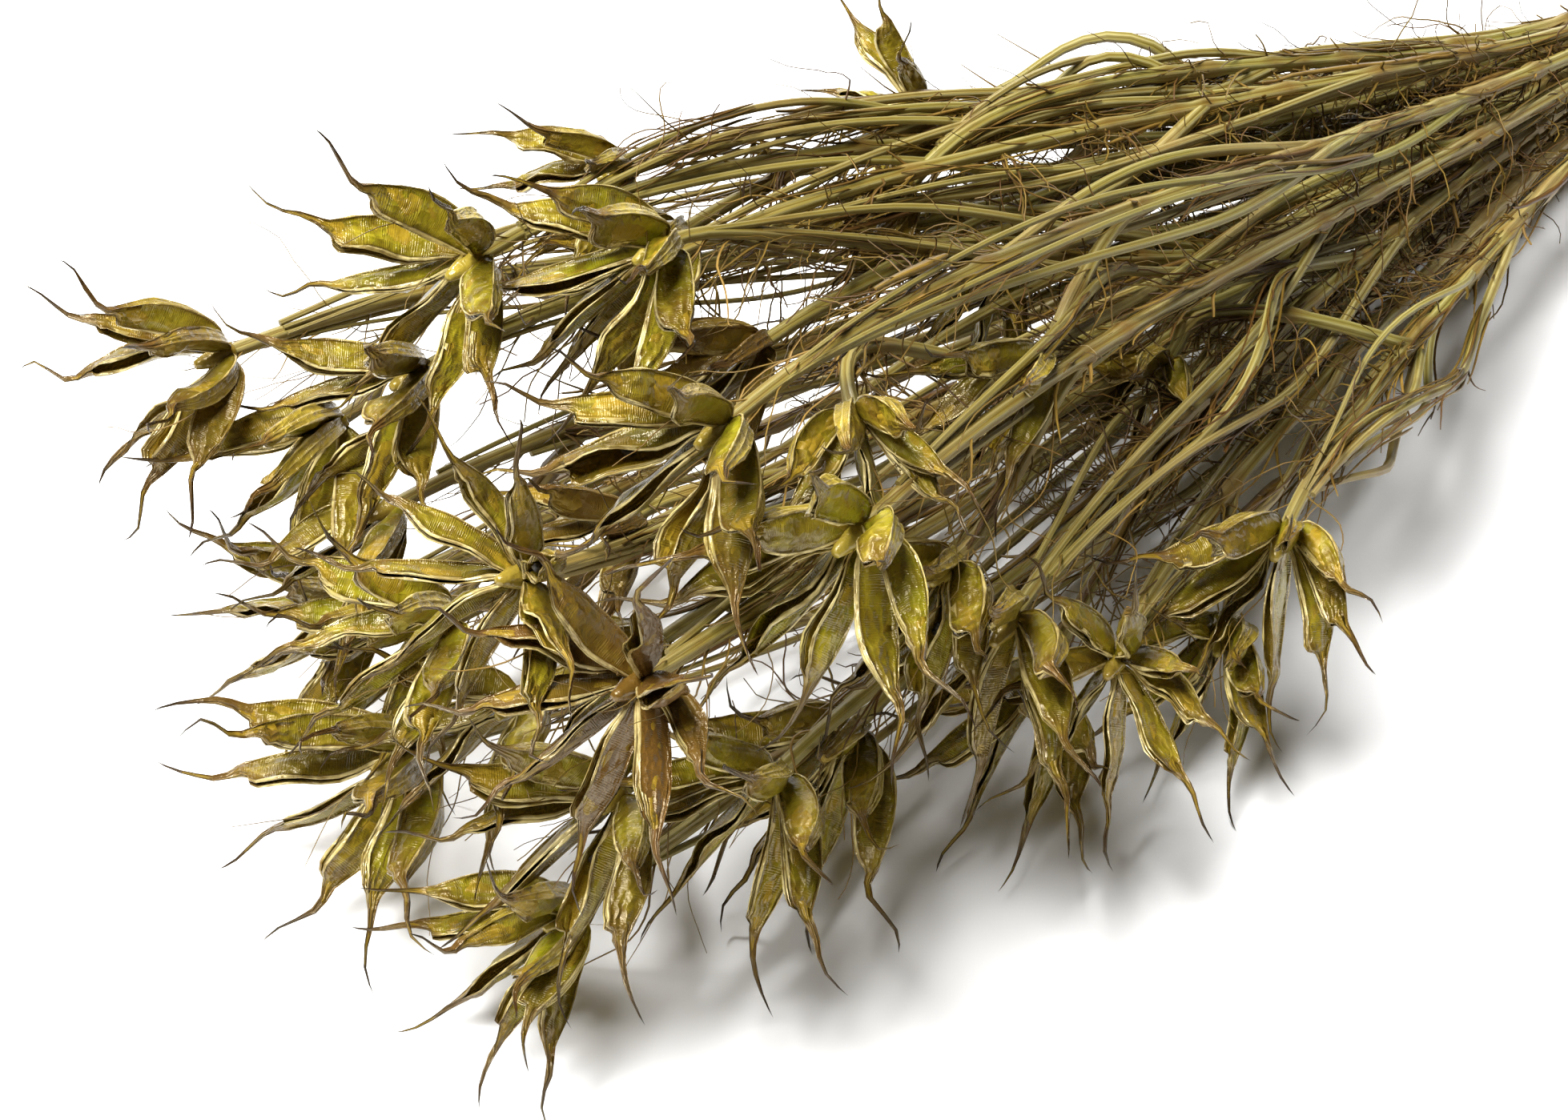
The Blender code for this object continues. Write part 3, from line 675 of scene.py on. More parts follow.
def makePodSkin():
    material, tree, shader = newMaterial("pod skin", **{
        "Roughness": 0.3, "Specular IOR Level": 0.8, "Specular Tint": podPaint["sheen"]})
    along, across, pick, dry, lime, inside = attributes(
        tree, "podAlong", "podAcross", "pick", "dryness", "limeness", "inside")
    pattern = podPattern
    ownPlace = vecPlus(tree, objectPlace(tree), combined(tree, pick, pick))
    patches = useGroup(tree, blotches, {
        "Vector": ownPlace, "Size": pattern["patches"], "Spread": pattern["spread"]})

    # zones from the middle of the outer band, over its two ridges and the wall, to the open margin
    zones = paintRamp(tree, across, podPaint, (
        (0.0, "ridge"), (0.03, "band"), (0.16, "band"), (0.2, "ridge"), (0.25, "ridge"), (0.29, "groove"),
        (0.38, "wall"), (0.66, "wall"), (0.74, "groove"), (0.79, "margin"), (0.94, "margin"),
        (1.0, "groove")))
    isWall = ramp(tree, across, ((0.31, 0.0), (0.4, 1.0), (0.66, 1.0), (0.74, 0.0)))
    # lime patches near the root: the wall's own green, made brighter as a painted glow of light through the
    # thin wall
    limeNoise = noise(tree, ownPlace, pattern["lime"], 3.0)
    tanNoise = noise(tree, ownPlace, pattern["tan"], 4.0, more={"Distortion": 0.6})
    nearRoot = rangeOf(tree, along, 0.55, 0.12, 0.35, 1.0)
    limeAndGlowMask = times(tree, rangeOf(tree, limeNoise, 0.4, 0.6), nearRoot, times(tree, isWall, lime))
    tanMask = times(tree, rangeOf(tree, tanNoise, 0.48, 0.64), rangeOf(tree, along, 0.1, 0.5, 0.2, 0.85))

    # cross veins on the walls and the rungs on the outer band
    apart = times(tree, pick, 40.0)
    veinPlace = combined(tree, times(tree, along, pattern["veins"]),
                         times(tree, across, pattern["veinsAcross"]), apart)
    wave = addNode(tree, "ShaderNodeTexWave", {
        "Vector": veinPlace, "Scale": pattern["wave"], "Distortion": 7.5, "Detail": 3.0, "Detail Scale": 0.8,
        "Detail Roughness": 0.6}, wave_type="BANDS", bands_direction="X").outputs["Fac"]
    faint = noise(tree, veinPlace, pattern["faint"], 3.0)
    vein = times(tree, rangeOf(tree, wave, 0.3, 1.0), rangeOf(tree, faint, 0.36, 0.62))
    onBody = times(tree, rangeOf(tree, along, 0.66, 0.6), rangeOf(tree, along, 0.05, 0.12))
    veinMask = times(tree, times(tree, vein, onBody), rangeOf(tree, across, 0.78, 0.68))
    betweenVeins = times(tree, rangeOf(tree, wave, 0.3, 0.05), times(tree, onBody, isWall))

    # no two pods have quite the same tone, and each wall is darker and paler in places
    clouds = noise(tree, ownPlace, pattern["clouds"], 4.0)
    darker, paler, ownTone = (times(tree, isWall, share) for share in (
        rangeOf(tree, clouds, 0.48, 0.64, 0.0, 0.6), rangeOf(tree, clouds, 0.48, 0.34, 0.0, 0.4),
        rangeOf(tree, pick, 0.25, 1.0, 0.0, 0.42)))

    # crumpled skin: a net of folds, with painted shade in its hollows and a painted golden highlight on its
    # folds
    net = cells(tree, ownPlace, pattern["net"])
    bends = noise(tree, ownPlace, pattern["bends"], 2.0, "Color")
    foldPlace = combined(tree, times(tree, along, pattern["foldsAlong"]),
                         times(tree, across, pattern["foldsAcross"]), apart)
    folds = cells(tree, vecPlus(tree, foldPlace, vecTimes(tree, bends, pattern["foldBend"])), 1.0)
    crumple = plus(tree, times(tree, folds, 0.62), times(tree, net, 0.38))
    paintedHollowShade = times(tree, rangeOf(tree, crumple, 0.44, 0.18), rangeOf(tree, along, 0.15, 0.5, 0.25, 0.6))
    paintedFoldHighlight = times(tree, rangeOf(tree, crumple, 0.54, 0.78), rangeOf(tree, along, 0.2, 0.6, 0.2, 0.6))

    # drying: patches, brown runs on the pale edges, whole brown heads, dark beaks, pale inside
    edge = ramp(tree, across, ((0.17, 0.0), (0.22, 1.0), (0.27, 0.0), (0.76, 0.0), (0.82, 1.0)))
    worn = noise(tree, ownPlace, pattern["worn"], 3.0)
    rim = rangeOf(tree, across, 0.78, 0.7, 0.4, 1.0)
    farBeak = plus(tree, along, times(tree, noise(tree, veinPlace, pattern["beak"], 3.0), 0.24))
    beakShare = times(tree, rangeOf(tree, farBeak, 0.64, 0.8), rangeOf(tree, across, 0.1, 0.3, 0.95, 0.8))
    colour = layered(tree, zones, podPaint, (
        (limeAndGlowMask, "lime"), (times(tree, tanMask, rangeOf(tree, isWall, 0.0, 1.0, 0.35, 0.65)), "tan"),
        (times(tree, veinMask, 0.24), "vein"), (times(tree, betweenVeins, 0.12), "darkVein"),
        # painted shade in the crumple's hollows, and a painted highlight on its folds in the pale vein paint
        (darker, "darkVein"), (paler, "vein"), (ownTone, "darkVein"), (paintedHollowShade, "paintedHollowShade"), (paintedFoldHighlight, "vein"),
        (times(tree, edge, rangeOf(tree, worn, 0.46, 0.6, 0.0, 0.75)), "tan"),
        (times(tree, patches["Patch"], 0.6), "brown"), (times(tree, dry, rim), "dry"),
        (beakShare, "beak"), (rangeOf(tree, farBeak, 0.86, 1.06, 0.0, 0.9), "beakTip"),
        (times(tree, inside, 0.75), "inside"), (times(tree, patches["Speck"], 0.4), "beakTip")))
    tree.links.new(colour, shader.inputs["Base Color"])

    grain = noise(tree, ownPlace, pattern["grain"], 4.0)
    rough = plus(tree, rangeOf(tree, isWall, 0.0, 1.0, 0.08, 0.2), times(tree, grain, 0.18),
                 times(tree, dry, 0.08))
    tree.links.new(rough, shader.inputs["Roughness"])
    deeper = times(tree, crumple, rangeOf(tree, along, 0.25, 0.6, 0.8, 1.8))
    bumped(tree, shader, plus(tree, times(tree, veinMask, 0.12), times(tree, grain, 0.4), deeper), pattern)
    return material


stemPaint = {
    "ridge": paint(0.69, 0.645, 0.45), "middle": paint(0.58, 0.525, 0.29), "groove": paint(0.41, 0.315, 0.08),
    "green": paint(0.54, 0.54, 0.22), "node": paint(0.44, 0.31, 0.13), "pith": paint(0.85, 0.80, 0.62),
    # shadeNearHeads is painted shade: darker and browner on the stems out among the heads
    "streak": paint(0.50, 0.37, 0.15), "tan": paint(0.63, 0.54, 0.35), "shadeNearHeads": paint(0.43, 0.36, 0.12),
}
stemPattern = {
    "patches": 60.0, "spread": 0.5, "fineness": 7.0, "stretch": 70.0, "broad": 22.0,
    "bump": 0.6, "bumpDepth": 0.0003,
}


def growthMarks(tree, place, turned, along, pattern):
    # the dried patches and the fine lines of a stem or a leaf
    patches = useGroup(tree, blotches, {
        "Vector": place, "Size": pattern["patches"], "Spread": pattern["spread"]})
    lines = useGroup(tree, fibres, {"Round": turned, "Along": along, "Fineness": pattern["fineness"],
                                    "Stretch": pattern["stretch"]})["Line"]
    return patches, lines


def makeStemSkin():
    material, tree, shader = newMaterial("stem skin", **{"Roughness": 0.42, "Specular IOR Level": 0.35})
    ribs, along, nodeShade, tint = attributes(tree, "ribs", "pathAlong", "nodeShade", "tint")
    turned, = attributes(tree, "turned", output="Vector")
    place = objectPlace(tree)
    patches, lines = growthMarks(tree, place, turned, along, stemPattern)
    parts = separated(tree, turned)
    angle = calc(tree, "ARCTAN2", parts["Y"], parts["X"])
    wander = times(tree, minus(tree, lines, 0.5), 1.6)
    wave = calc(tree, "COSINE", plus(tree, times(tree, angle, ribs), wander))
    rib = minus(tree, 0.5, times(tree, wave, 0.5))
    colour = paintRamp(tree, rib, stemPaint, (
        (0.0, "groove"), (0.05, "groove"), (0.22, "middle"), (0.72, "middle"), (0.95, "ridge")))
    broad = noise(tree, place, stemPattern["broad"], 2.0)
    colour = layered(tree, colour, stemPaint, (
        (times(tree, tint, 0.45), "green"), (rangeOf(tree, broad, 0.52, 0.64, 0.0, 0.6), "tan"),
        # painted shade: darker and browner further out from the tie, among the heads
        (rangeOf(tree, separated(tree, place)["X"], 0.0, -0.12, 0.0, 0.55), "shadeNearHeads"),
        (rangeOf(tree, lines, 0.52, 0.74, 0.0, 0.6), "streak"),
        (rangeOf(tree, lines, 0.44, 0.3, 0.0, 0.5), "ridge"),
        (times(tree, patches["Patch"], 0.5), "node"), (times(tree, nodeShade, 0.7), "node"),
        (times(tree, patches["Speck"], 0.4), "node"), (rangeOf(tree, along, 0.00004, 0.00002), "pith")))
    tree.links.new(colour, shader.inputs["Base Color"])
    tree.links.new(rangeOf(tree, lines, 0.3, 0.7, 0.3, 0.52), shader.inputs["Roughness"])
    bumped(tree, shader, plus(tree, lines, times(tree, rib, 0.5)), stemPattern)
    return material


threadPaint = {
    "pale": paint(0.60, 0.475, 0.22), "brown": paint(0.33, 0.22, 0.08), "green": paint(0.44, 0.36, 0.11),
}
threadPattern = {
    "patches": 90.0, "spread": 0.8, "fineness": 2.5, "stretch": 120.0, "bump": 0.5, "bumpDepth": 0.00015,
}


def makeThreadSkin():
    material, tree, shader = newMaterial("thread leaf", **{"Roughness": 0.45, "Specular IOR Level": 0.35})
    tint, along = attributes(tree, "tint", "pathAlong")
    turned, = attributes(tree, "turned", output="Vector")
    patches, lines = growthMarks(tree, objectPlace(tree), turned, along, threadPattern)
    colour = paintRamp(tree, tint, threadPaint, (
        (0.0, "brown"), (0.3, "green"), (0.55, "pale"), (0.75, "green"), (0.95, "brown")))
    colour = layered(tree, colour, threadPaint, (
        (times(tree, patches["Patch"], 0.6), "brown"), (rangeOf(tree, lines, 0.45, 0.7, 0.0, 0.55), "brown"),
        (rangeOf(tree, lines, 0.42, 0.28, 0.0, 0.6), "pale")))
    tree.links.new(colour, shader.inputs["Base Color"])
    tree.links.new(rangeOf(tree, lines, 0.3, 0.7, 0.34, 0.56), shader.inputs["Roughness"])
    bumped(tree, shader, lines, threadPattern)
    return material


seedLook = {"pit": paint(0.07, 0.06, 0.05), "ridge": paint(0.2, 0.17, 0.14), "pits": 3500.0, "bump": 0.6,
            "bumpDepth": 0.0001}


def makeSeedCoat():
    material, tree, shader = newMaterial("seed coat", **{"Roughness": 0.5})
    pits = cells(tree, objectPlace(tree), seedLook["pits"])
    tree.links.new(mixColour(tree, pits, seedLook["pit"], seedLook["ridge"]), shader.inputs["Base Color"])
    bumped(tree, shader, pits, seedLook)
    return material


bandLook = {
    "dark": paint(0.62, 0.47, 0.27), "pale": paint(0.80, 0.66, 0.43), "dusty": paint(0.55, 0.42, 0.27),
    "stretch": (6.0, 1.0, 1.0), "lines": 260.0, "dust": 120.0, "bump": 0.4, "bumpDepth": 0.0002,
}


def makeBandRubber():
    material, tree, shader = newMaterial("band rubber", **{"Roughness": 0.5, "Specular IOR Level": 0.45})
    place = objectPlace(tree)
    stretched = addNode(tree, "ShaderNodeMapping", {"Vector": place, "Scale": bandLook["stretch"]}).outputs[0]
    lines = noise(tree, stretched, bandLook["lines"], 4.0)
    dust = noise(tree, place, bandLook["dust"], 3.0)
    colour = mixColour(tree, lines, bandLook["dark"], bandLook["pale"])
    colour = mixColour(tree, rangeOf(tree, dust, 0.5, 0.75, 0.0, 0.5), colour, bandLook["dusty"])
    tree.links.new(colour, shader.inputs["Base Color"])
    tree.links.new(rangeOf(tree, dust, 0.3, 0.7, 0.4, 0.6), shader.inputs["Roughness"])
    bumped(tree, shader, lines, bandLook)
    return material


podSkin, stemSkin, threadSkin = makePodSkin(), makeStemSkin(), makeThreadSkin()
seedCoat, bandRubber = makeSeedCoat(), makeBandRubber()
print("materials made")


# Seed pods

podForm = {
    # from root to beak tip, in millimetres: outer edge at, its height, half width of the outer band,
    # inner margin at, its height, how far the margin gapes when the pod is open
    "rows": (
        (0.0, 0.35, 0.35, 0.0, -0.35, 0.0), (1.2, 1.5, 0.75, 1.0, -0.7, 0.0),
        (2.6, 2.5, 1.08, 2.4, -1.1, 0.05), (4.2, 3.0, 1.25, 4.2, -1.5, 0.15),
        (6.2, 3.15, 1.34, 6.4, -1.95, 0.4), (8.4, 3.15, 1.4, 8.8, -2.45, 0.8),
        (10.6, 3.05, 1.42, 11.2, -2.95, 1.2), (12.8, 2.9, 1.4, 13.6, -3.4, 1.6),
        (14.8, 2.65, 1.34, 16.0, -3.8, 1.85), (16.6, 2.3, 1.22, 18.2, -3.95, 1.9),
        (18.2, 1.9, 1.08, 20.0, -3.75, 1.7), (19.5, 1.5, 0.95, 21.0, -3.15, 1.25),
        (20.6, 1.2, 0.84, 21.0, -2.25, 0.7), (21.6, 0.95, 0.74, 20.8, -1.45, 0.3),
        (22.6, 0.78, 0.64, 21.6, -0.85, 0.1), (24.0, 0.54, 0.46, 23.4, -0.5, 0.0),
        (26.0, 0.4, 0.36, 25.8, -0.36, 0.0), (28.4, 0.3, 0.28, 28.3, -0.27, 0.0),
        (30.8, 0.2, 0.2, 30.8, -0.18, 0.0), (32.8, 0.12, 0.12, 32.8, -0.1, 0.0),
    ),
    # the inner margin of a slimmer pod, where the form above is broad: at, its height
    "slim": (
        (0.0, -0.35), (1.0, -0.8), (2.4, -1.3), (4.2, -1.8), (6.4, -2.3), (8.8, -2.7), (11.2, -2.95),
        (13.4, -3.0), (15.4, -2.85), (17.2, -2.5), (18.7, -2.05), (19.8, -1.6), (20.7, -1.25), (21.5, -0.95),
        (22.4, -0.72), (23.6, -0.5), (25.8, -0.36), (28.3, -0.27), (30.8, -0.18), (32.8, -0.1),
    ),
    "wall": 0.2, "fullWidth": 1.5,
    "sway": 1.1, "swayFrom": 5, "swayTo": 21, "swayLength": 15, "bodyEnd": 22,
    "gapeRise": 0.22, "sink": 0.55,
    "dents": 0.0030, "dentSize": 170.0, "creases": 0.0011, "creaseSize": 560.0,
    "bodyBow": 1.6,
}


def mirrored(places):
    return [(rise, -width, -gape, across, share) for rise, width, gape, across, share in places]


def podSection(outer, half, inner):
    # places round one section: height, width, share of the gape, way from the band (0) to the seam (1), and
    # how far the place belongs to the wall
    full = min(1.0, half / podForm["fullWidth"])    # the ridges and the margin get thinner with the pod
    depth, wall = outer - inner, podForm["wall"] * full
    narrow = 0.30 * full + 0.32 * half
    side = [
        (inner + 0.3 * full, 0.04 * full, 1.0, 1.0, 0), (inner + 0.02 * full, 0.1 * full, 1.0, 0.93, 0),
        (inner, 0.3 * full, 1.0, 0.86, 0), (inner + 0.26 * full, 0.44 * full, 0.97, 0.79, 0),
        (inner + 0.48 * full, 0.28 * full + 0.02 * depth, 0.93, 0.74, 0.1),
        (inner + 0.26 * depth, narrow, 0.75, 0.64, 0.8), (inner + 0.48 * depth, 0.86 * half, 0.4, 0.54, 1.0),
        (inner + 0.72 * depth, 0.92 * half, 0.08, 0.44, 0.8),
        (outer - 0.58 * full, 0.82 * half, 0.0, 0.36, 0.4),
        (outer - 0.24 * full, half + 0.02 * full, 0.0, 0.29, 0),
        (outer - 0.02 * full, half + 0.2 * full, 0.0, 0.24, 0),
        (outer + 0.14 * full, half + 0.02 * full, 0.0, 0.19, 0),
        (outer - 0.12 * full, 0.78 * half, 0.0, 0.13, 0),
        (outer - 0.12 * full, 0.16 * half, 0.0, 0.04, 0),
    ]
    lining = [
        (inner + 0.28 * depth, narrow - wall, 0.75, 0.64, 0.8),
        (inner + 0.48 * depth, 0.86 * half - wall, 0.4, 0.54, 1.0),
        (outer - 0.6 * full, 0.8 * half - wall, 0.0, 0.35, 0.4),
    ]
    outside = mirrored(side) + [(outer + 0.06 * full, 0.0, 0.0, 0.0, 0)] + side[::-1]
    within = lining + [(outer - 0.3 * full - wall, 0.0, 0.0, 0.1, 0)] + mirrored(lining)[::-1]
    return [place + (0.0,) for place in outside] + [place + (1.0,) for place in within]


def makePodBlank():
    # one closed pod as a thin-walled shell, with what opens it, sways its margin, sinks and deepens it
    shape = bmesh.new()
    vectors = {name: [] for name in (
        "closedPlace", "gapePlace", "swayPlace", "sinkPlace", "deepPlace", "slimPlace")}
    numbers = {name: [] for name in ("podAlong", "podAcross", "inside", "wallShare")}
    for row, slimRow in zip(podForm["rows"], podForm["slim"]):
        outerAt, outer, half, innerAt, inner, gape = row
        slimAt, slimInner = slimRow
        wave = math.sin(math.tau * (innerAt - podForm["swayFrom"]) / podForm["swayLength"])
        fading = clamped(0.0, min((podForm["swayTo"] - innerAt) / 3, innerAt / podForm["swayFrom"]), 1.0)
        swing = podForm["sway"] * wave * fading
        onBody = clamped(0.0, (podForm["bodyEnd"] - innerAt) / 2, 1.0)
        for rise, width, share, across, wallShare, inside in podSection(outer, half, inner):
            up = clamped(0.0, (rise - inner) / (outer - inner), 1.0)
            length = innerAt + (outerAt - innerAt) * up
            for name, place in (
                    ("closedPlace", Vector((length, rise, width))),
                    ("gapePlace", Vector((0, abs(share) * gape * podForm["gapeRise"], share * gape))),
                    ("swayPlace", Vector((0, 0, abs(share) * swing))),
                    ("sinkPlace", Vector((0, 0, -width * wallShare * podForm["sink"]))),
                    ("deepPlace", Vector((0, (rise - outer) * onBody, 0))),
                    ("slimPlace", Vector((slimAt - innerAt, slimInner - inner, 0)) * (1 - up))):
                vectors[name].append(place * mm)
            for name, value in (("podAlong", length / packed["beakTip"]), ("podAcross", across),
                                ("inside", inside), ("wallShare", wallShare)):
                numbers[name].append(value)
    columns = len(numbers["inside"]) // len(podForm["rows"])
    tip = {"closedPlace": Vector((packed["beakTip"], 0, 0)) * mm, "podAlong": 1.0, "podAcross": 0.5}
    for name, places in vectors.items():
        places.append(tip.get(name, Vector()))
    for name, values in numbers.items():
        values.append(tip.get(name, 0.0))
    verts = [shape.verts.new(place) for place in vectors["closedPlace"]]
    rows = [verts[start:start + columns] for start in range(0, len(verts) - 1, columns)]
    for row, other in zip(rows, rows[1:]):
        for column in range(columns):
            following = (column + 1) % columns
            shape.faces.new((row[column], row[following], other[following], other[column]))
    for column in range(columns):
        shape.faces.new((rows[-1][column], rows[-1][(column + 1) % columns], verts[-1]))
    shape.faces.new(rows[0][::-1])
    bmesh.ops.recalc_face_normals(shape, faces=shape.faces)
    mesh = meshOf("podBlank", shape)
    setAttributes(mesh, "FLOAT_VECTOR", vectors)
    setAttributes(mesh, "FLOAT", numbers)
    return addObject("podBlank", mesh)


def makeSeedBlank():
    shape = bmesh.new()
    bmesh.ops.create_icosphere(shape, subdivisions=1, radius=1.0)
    bmesh.ops.scale(shape, verts=shape.verts, vec=headLooks["seedSize"])
    return addObject("seedBlank", meshOf("seedBlank", shape))


def makeHeadTree():
    # sets a pod on each pod point, bends it by the point's own numbers, and drops seeds into the open ones
    tree, given = geometryTree("seed head", {
        "Pod": ("Object", None), "Seed grain": ("Object", None),
        "Body length": ("Float", packed["beakStart"] * mm),
        "Beak length": ("Float", (packed["beakTip"] - packed["beakStart"]) * mm),
        "Dents": ("Float", podForm["dents"]), "Creases": ("Float", podForm["creases"]), "Seed": ("Int", 7)})
    podShape = addNode(tree, "GeometryNodeObjectInfo", {"Object": given["Pod"]}).outputs["Geometry"]
    pods = addNode(tree, "GeometryNodeInstanceOnPoints", {
        "Points": given["Geometry"], "Selection": named(tree, "isPod", "BOOLEAN"),
        "Instance": podShape}).outputs[0]
    pods = addNode(tree, "GeometryNodeRealizeInstances", {"Geometry": pods}).outputs[0]

    # the pod's own form: slimmer, deeper, sunken, open, with a swaying margin and a bowed body
    place = namedVector(tree, "closedPlace")
    for change, amount in (("slimPlace", "slimness"), ("deepPlace", "deepening"), ("sinkPlace", "sunken"),
                           ("gapePlace", "gape"), ("swayPlace", "marginSway")):
        place = vecPlus(tree, place, vecTimes(tree, namedVector(tree, change), named(tree, amount)))
    far = separated(tree, place)["X"]
    arc = calc(tree, "SINE", times(tree, math.pi, calc(tree, "DIVIDE", far, given["Body length"])))
    arc = times(tree, arc, calc(tree, "LESS_THAN", far, given["Body length"]))
    place = vecPlus(tree, place, vecTimes(tree, namedVector(tree, "bodyBow"), arc))

    # turned and bent along its length, then set on its root
    split = separated(tree, place)
    body = calc(tree, "MINIMUM", 1.0, calc(tree, "DIVIDE", split["X"], given["Body length"]))
    beak = minus(tree, split["X"], given["Body length"])
    beak = calc(tree, "MAXIMUM", 0.0, calc(tree, "DIVIDE", beak, given["Beak length"]))
    turn = plus(tree, times(tree, named(tree, "twist"), body), times(tree, named(tree, "beakTwist"), beak))
    sine, cosine = calc(tree, "SINE", turn), calc(tree, "COSINE", turn)
    rise = minus(tree, times(tree, split["Y"], cosine), times(tree, split["Z"], sine))
    width = plus(tree, times(tree, split["Y"], sine), times(tree, split["Z"], cosine))
    hook = calc(tree, "MAXIMUM", 0.0, minus(tree, beak, headLooks["hookFrom"]))
    bent = vecPlus(tree, *(vecTimes(tree, namedVector(tree, name), amount) for name, amount in (
        ("beakBend", times(tree, beak, beak)), ("beakWave", calc(tree, "SINE", times(tree, beak, math.tau))),
        ("beakHook", times(tree, hook, hook, 1 / (1 - headLooks["hookFrom"]) ** 2)))))
    spread = vecPlus(tree, *(vecTimes(tree, namedVector(tree, name), amount) for name, amount in (
        ("along", split["X"]), ("back", rise), ("beside", width))))
    spread = vecTimes(tree, vecPlus(tree, spread, bent), named(tree, "podSize"))
    pods = addNode(tree, "GeometryNodeSetPosition", {
        "Geometry": pods, "Position": vecPlus(tree, namedVector(tree, "root"), spread)}).outputs[0]

    # walls dry unevenly: a shallow push along the skin's normal, on the outside of the wall
    ownPlace = vecPlus(tree, place, vecTimes(tree, (1.0, 0.6, 0.3), named(tree, "pick")))
    push = 0.0
    for size, depth in (("dentSize", given["Dents"]), ("creaseSize", given["Creases"])):
        uneven = minus(tree, noise(tree, ownPlace, podForm[size], 2.0), 0.5)
        push = plus(tree, push, times(tree, uneven, depth))
    push = times(tree, push, plus(tree, 0.3, times(tree, named(tree, "wallShare"), 0.7)),
                 minus(tree, 1.0, named(tree, "inside")), minus(tree, 1.0, calc(tree, "MINIMUM", 1.0, beak)))
    normal = addNode(tree, "GeometryNodeInputNormal").outputs[0]
    pods = addNode(tree, "GeometryNodeSetPosition", {
        "Geometry": pods, "Offset": vecTimes(tree, normal, push)}).outputs[0]
    core = addNode(tree, "GeometryNodeSeparateGeometry", {
        "Geometry": given["Geometry"], "Selection": named(tree, "isCore", "BOOLEAN")}).outputs["Selection"]
    skin = dressed(tree, joined(tree, (core, pods)), podSkin)

    turned = addNode(tree, "FunctionNodeRandomValue", {"Max": (6.3, 6.3, 6.3), "Seed": given["Seed"]},
                     data_type="FLOAT_VECTOR").outputs[0]
    grainShape = addNode(tree, "GeometryNodeObjectInfo", {"Object": given["Seed grain"]}).outputs["Geometry"]
    grains = addNode(tree, "GeometryNodeInstanceOnPoints", {
        "Points": given["Geometry"], "Selection": named(tree, "isSeed", "BOOLEAN"), "Instance": grainShape,
        "Rotation": addNode(tree, "FunctionNodeEulerToRotation", {0: turned}).outputs[0]}).outputs[0]
    addNode(tree, "NodeGroupOutput", {0: joined(tree, (dressed(tree, grains, seedCoat), skin))})
    return tree


headLooks = {
    "brownHeads": {"head_30": 0.95, "head_19": 0.8, "head_12": 0.85, "head_04": 0.7, "head_06": 0.55,
                   "head_08": 0.45},
    "dryness": (0.0, 0.4), "drynessChange": 0.15, "limeness": (0.1, 1.0), "limenessChange": 0.4,
    "slimness": (0.1, 1.0), "deepening": (-0.2, 0.1), "sunken": (-0.2, 1.0),
    "openShare": 0.07, "openGape": (0.8, 1.0), "gape": (0.0, 0.45), "isOpen": 0.7, "openBow": 0.3,
    "bow": ((-0.6, 1), (-1, 1)), "bendChange": 2.2, "curlChange": 1.5,
    "hookShare": 0.5, "hook": (1.2, 3.6), "hookFrom": 0.6, "beakTwist": 2.4, "beakWave": 1.1,
    "seedsInOpenPod": 2, "seedAt": (7, 16), "seedRise": (-0.9, 0.2), "seedAside": 0.2,
    "seedSize": (0.0013, 0.0009, 0.0008),
    "coreSides": 20, "coreWave": 0.07, "coreShade": {"podAlong": 0.03, "podAcross": 0.16, "pick": 0.5},
    "coreLine": ((0.0, 0.0), (0.0, 1.2), (0.3, 1.75), (1.0, 2.0), (2.2, 1.85), (4.0, 1.5), (6.0, 1.0),
                 (7.0, 0.7), (7.2, 0.0)),
}


def podPoints(head, pod, headDry, headLime):
    # the point that a pod stands on, with all its numbers, and the points of its seeds if it is open
    looks = headLooks
    own = random.Random(f"{head.name}/{pod['number']}/looks")
    gape = own.uniform(*looks["openGape" if own.random() < looks["openShare"] else "gape"])
    hook = own.uniform(*looks["hook"]) if own.random() < looks["hookShare"] else 0.0
    hookTurn = own.uniform(0, math.tau)
    side = pod["beside"] * math.cos(hookTurn) + pod["back"] * math.sin(hookTurn)

    def change(name):
        return own.uniform(-looks[name], looks[name])

    bend = pod["back"] * (pod["curl"] + change("curlChange"))
    bend += pod["beside"] * (pod["bend"] + change("bendChange"))
    isOpen = gape > looks["isOpen"]
    bow = Vector((0, own.uniform(*looks["bow"][0]), own.uniform(*looks["bow"][1]))) * podForm["bodyBow"]
    bow = bow * (looks["openBow"] if isOpen else 1.0)
    points = [{
        "co": inFrame(pod["root"]), "root": inFrame(pod["root"]), "along": pod["along"], "back": pod["back"],
        "beside": pod["beside"], "podSize": pod["size"], "twist": pod["twist"], "gape": gape,
        "bodyBow": bow * mm, "deepening": own.uniform(*looks["deepening"]),
        "sunken": own.uniform(*looks["sunken"]) ** 3,
        "slimness": 0.0 if isOpen else own.uniform(*looks["slimness"]),
        "beakTwist": change("beakTwist"), "marginSway": own.uniform(-1, 1), "pick": own.random(),
        "beakBend": bend * mm,
        "beakWave": (pod["back"] * change("beakWave") + pod["beside"] * change("beakWave")) * mm,
        "beakHook": side * hook * mm, "dryness": clamped(0.0, headDry + change("drynessChange"), 1.0),
        "limeness": clamped(0.0, headLime + change("limenessChange"), 1.0), "isPod": True}]
    for grain in range(looks["seedsInOpenPod"] if isOpen else 0):
        far = own.uniform(*looks["seedAt"])
        arch = math.sin(math.pi * far / packed["beakStart"])
        rise = own.uniform(*looks["seedRise"]) + bow.y * arch
        aside = change("seedAside") + bow.z * arch
        points.append({"co": inFrame(podPlace(pod, far, rise, aside)), "isSeed": True})
    return points


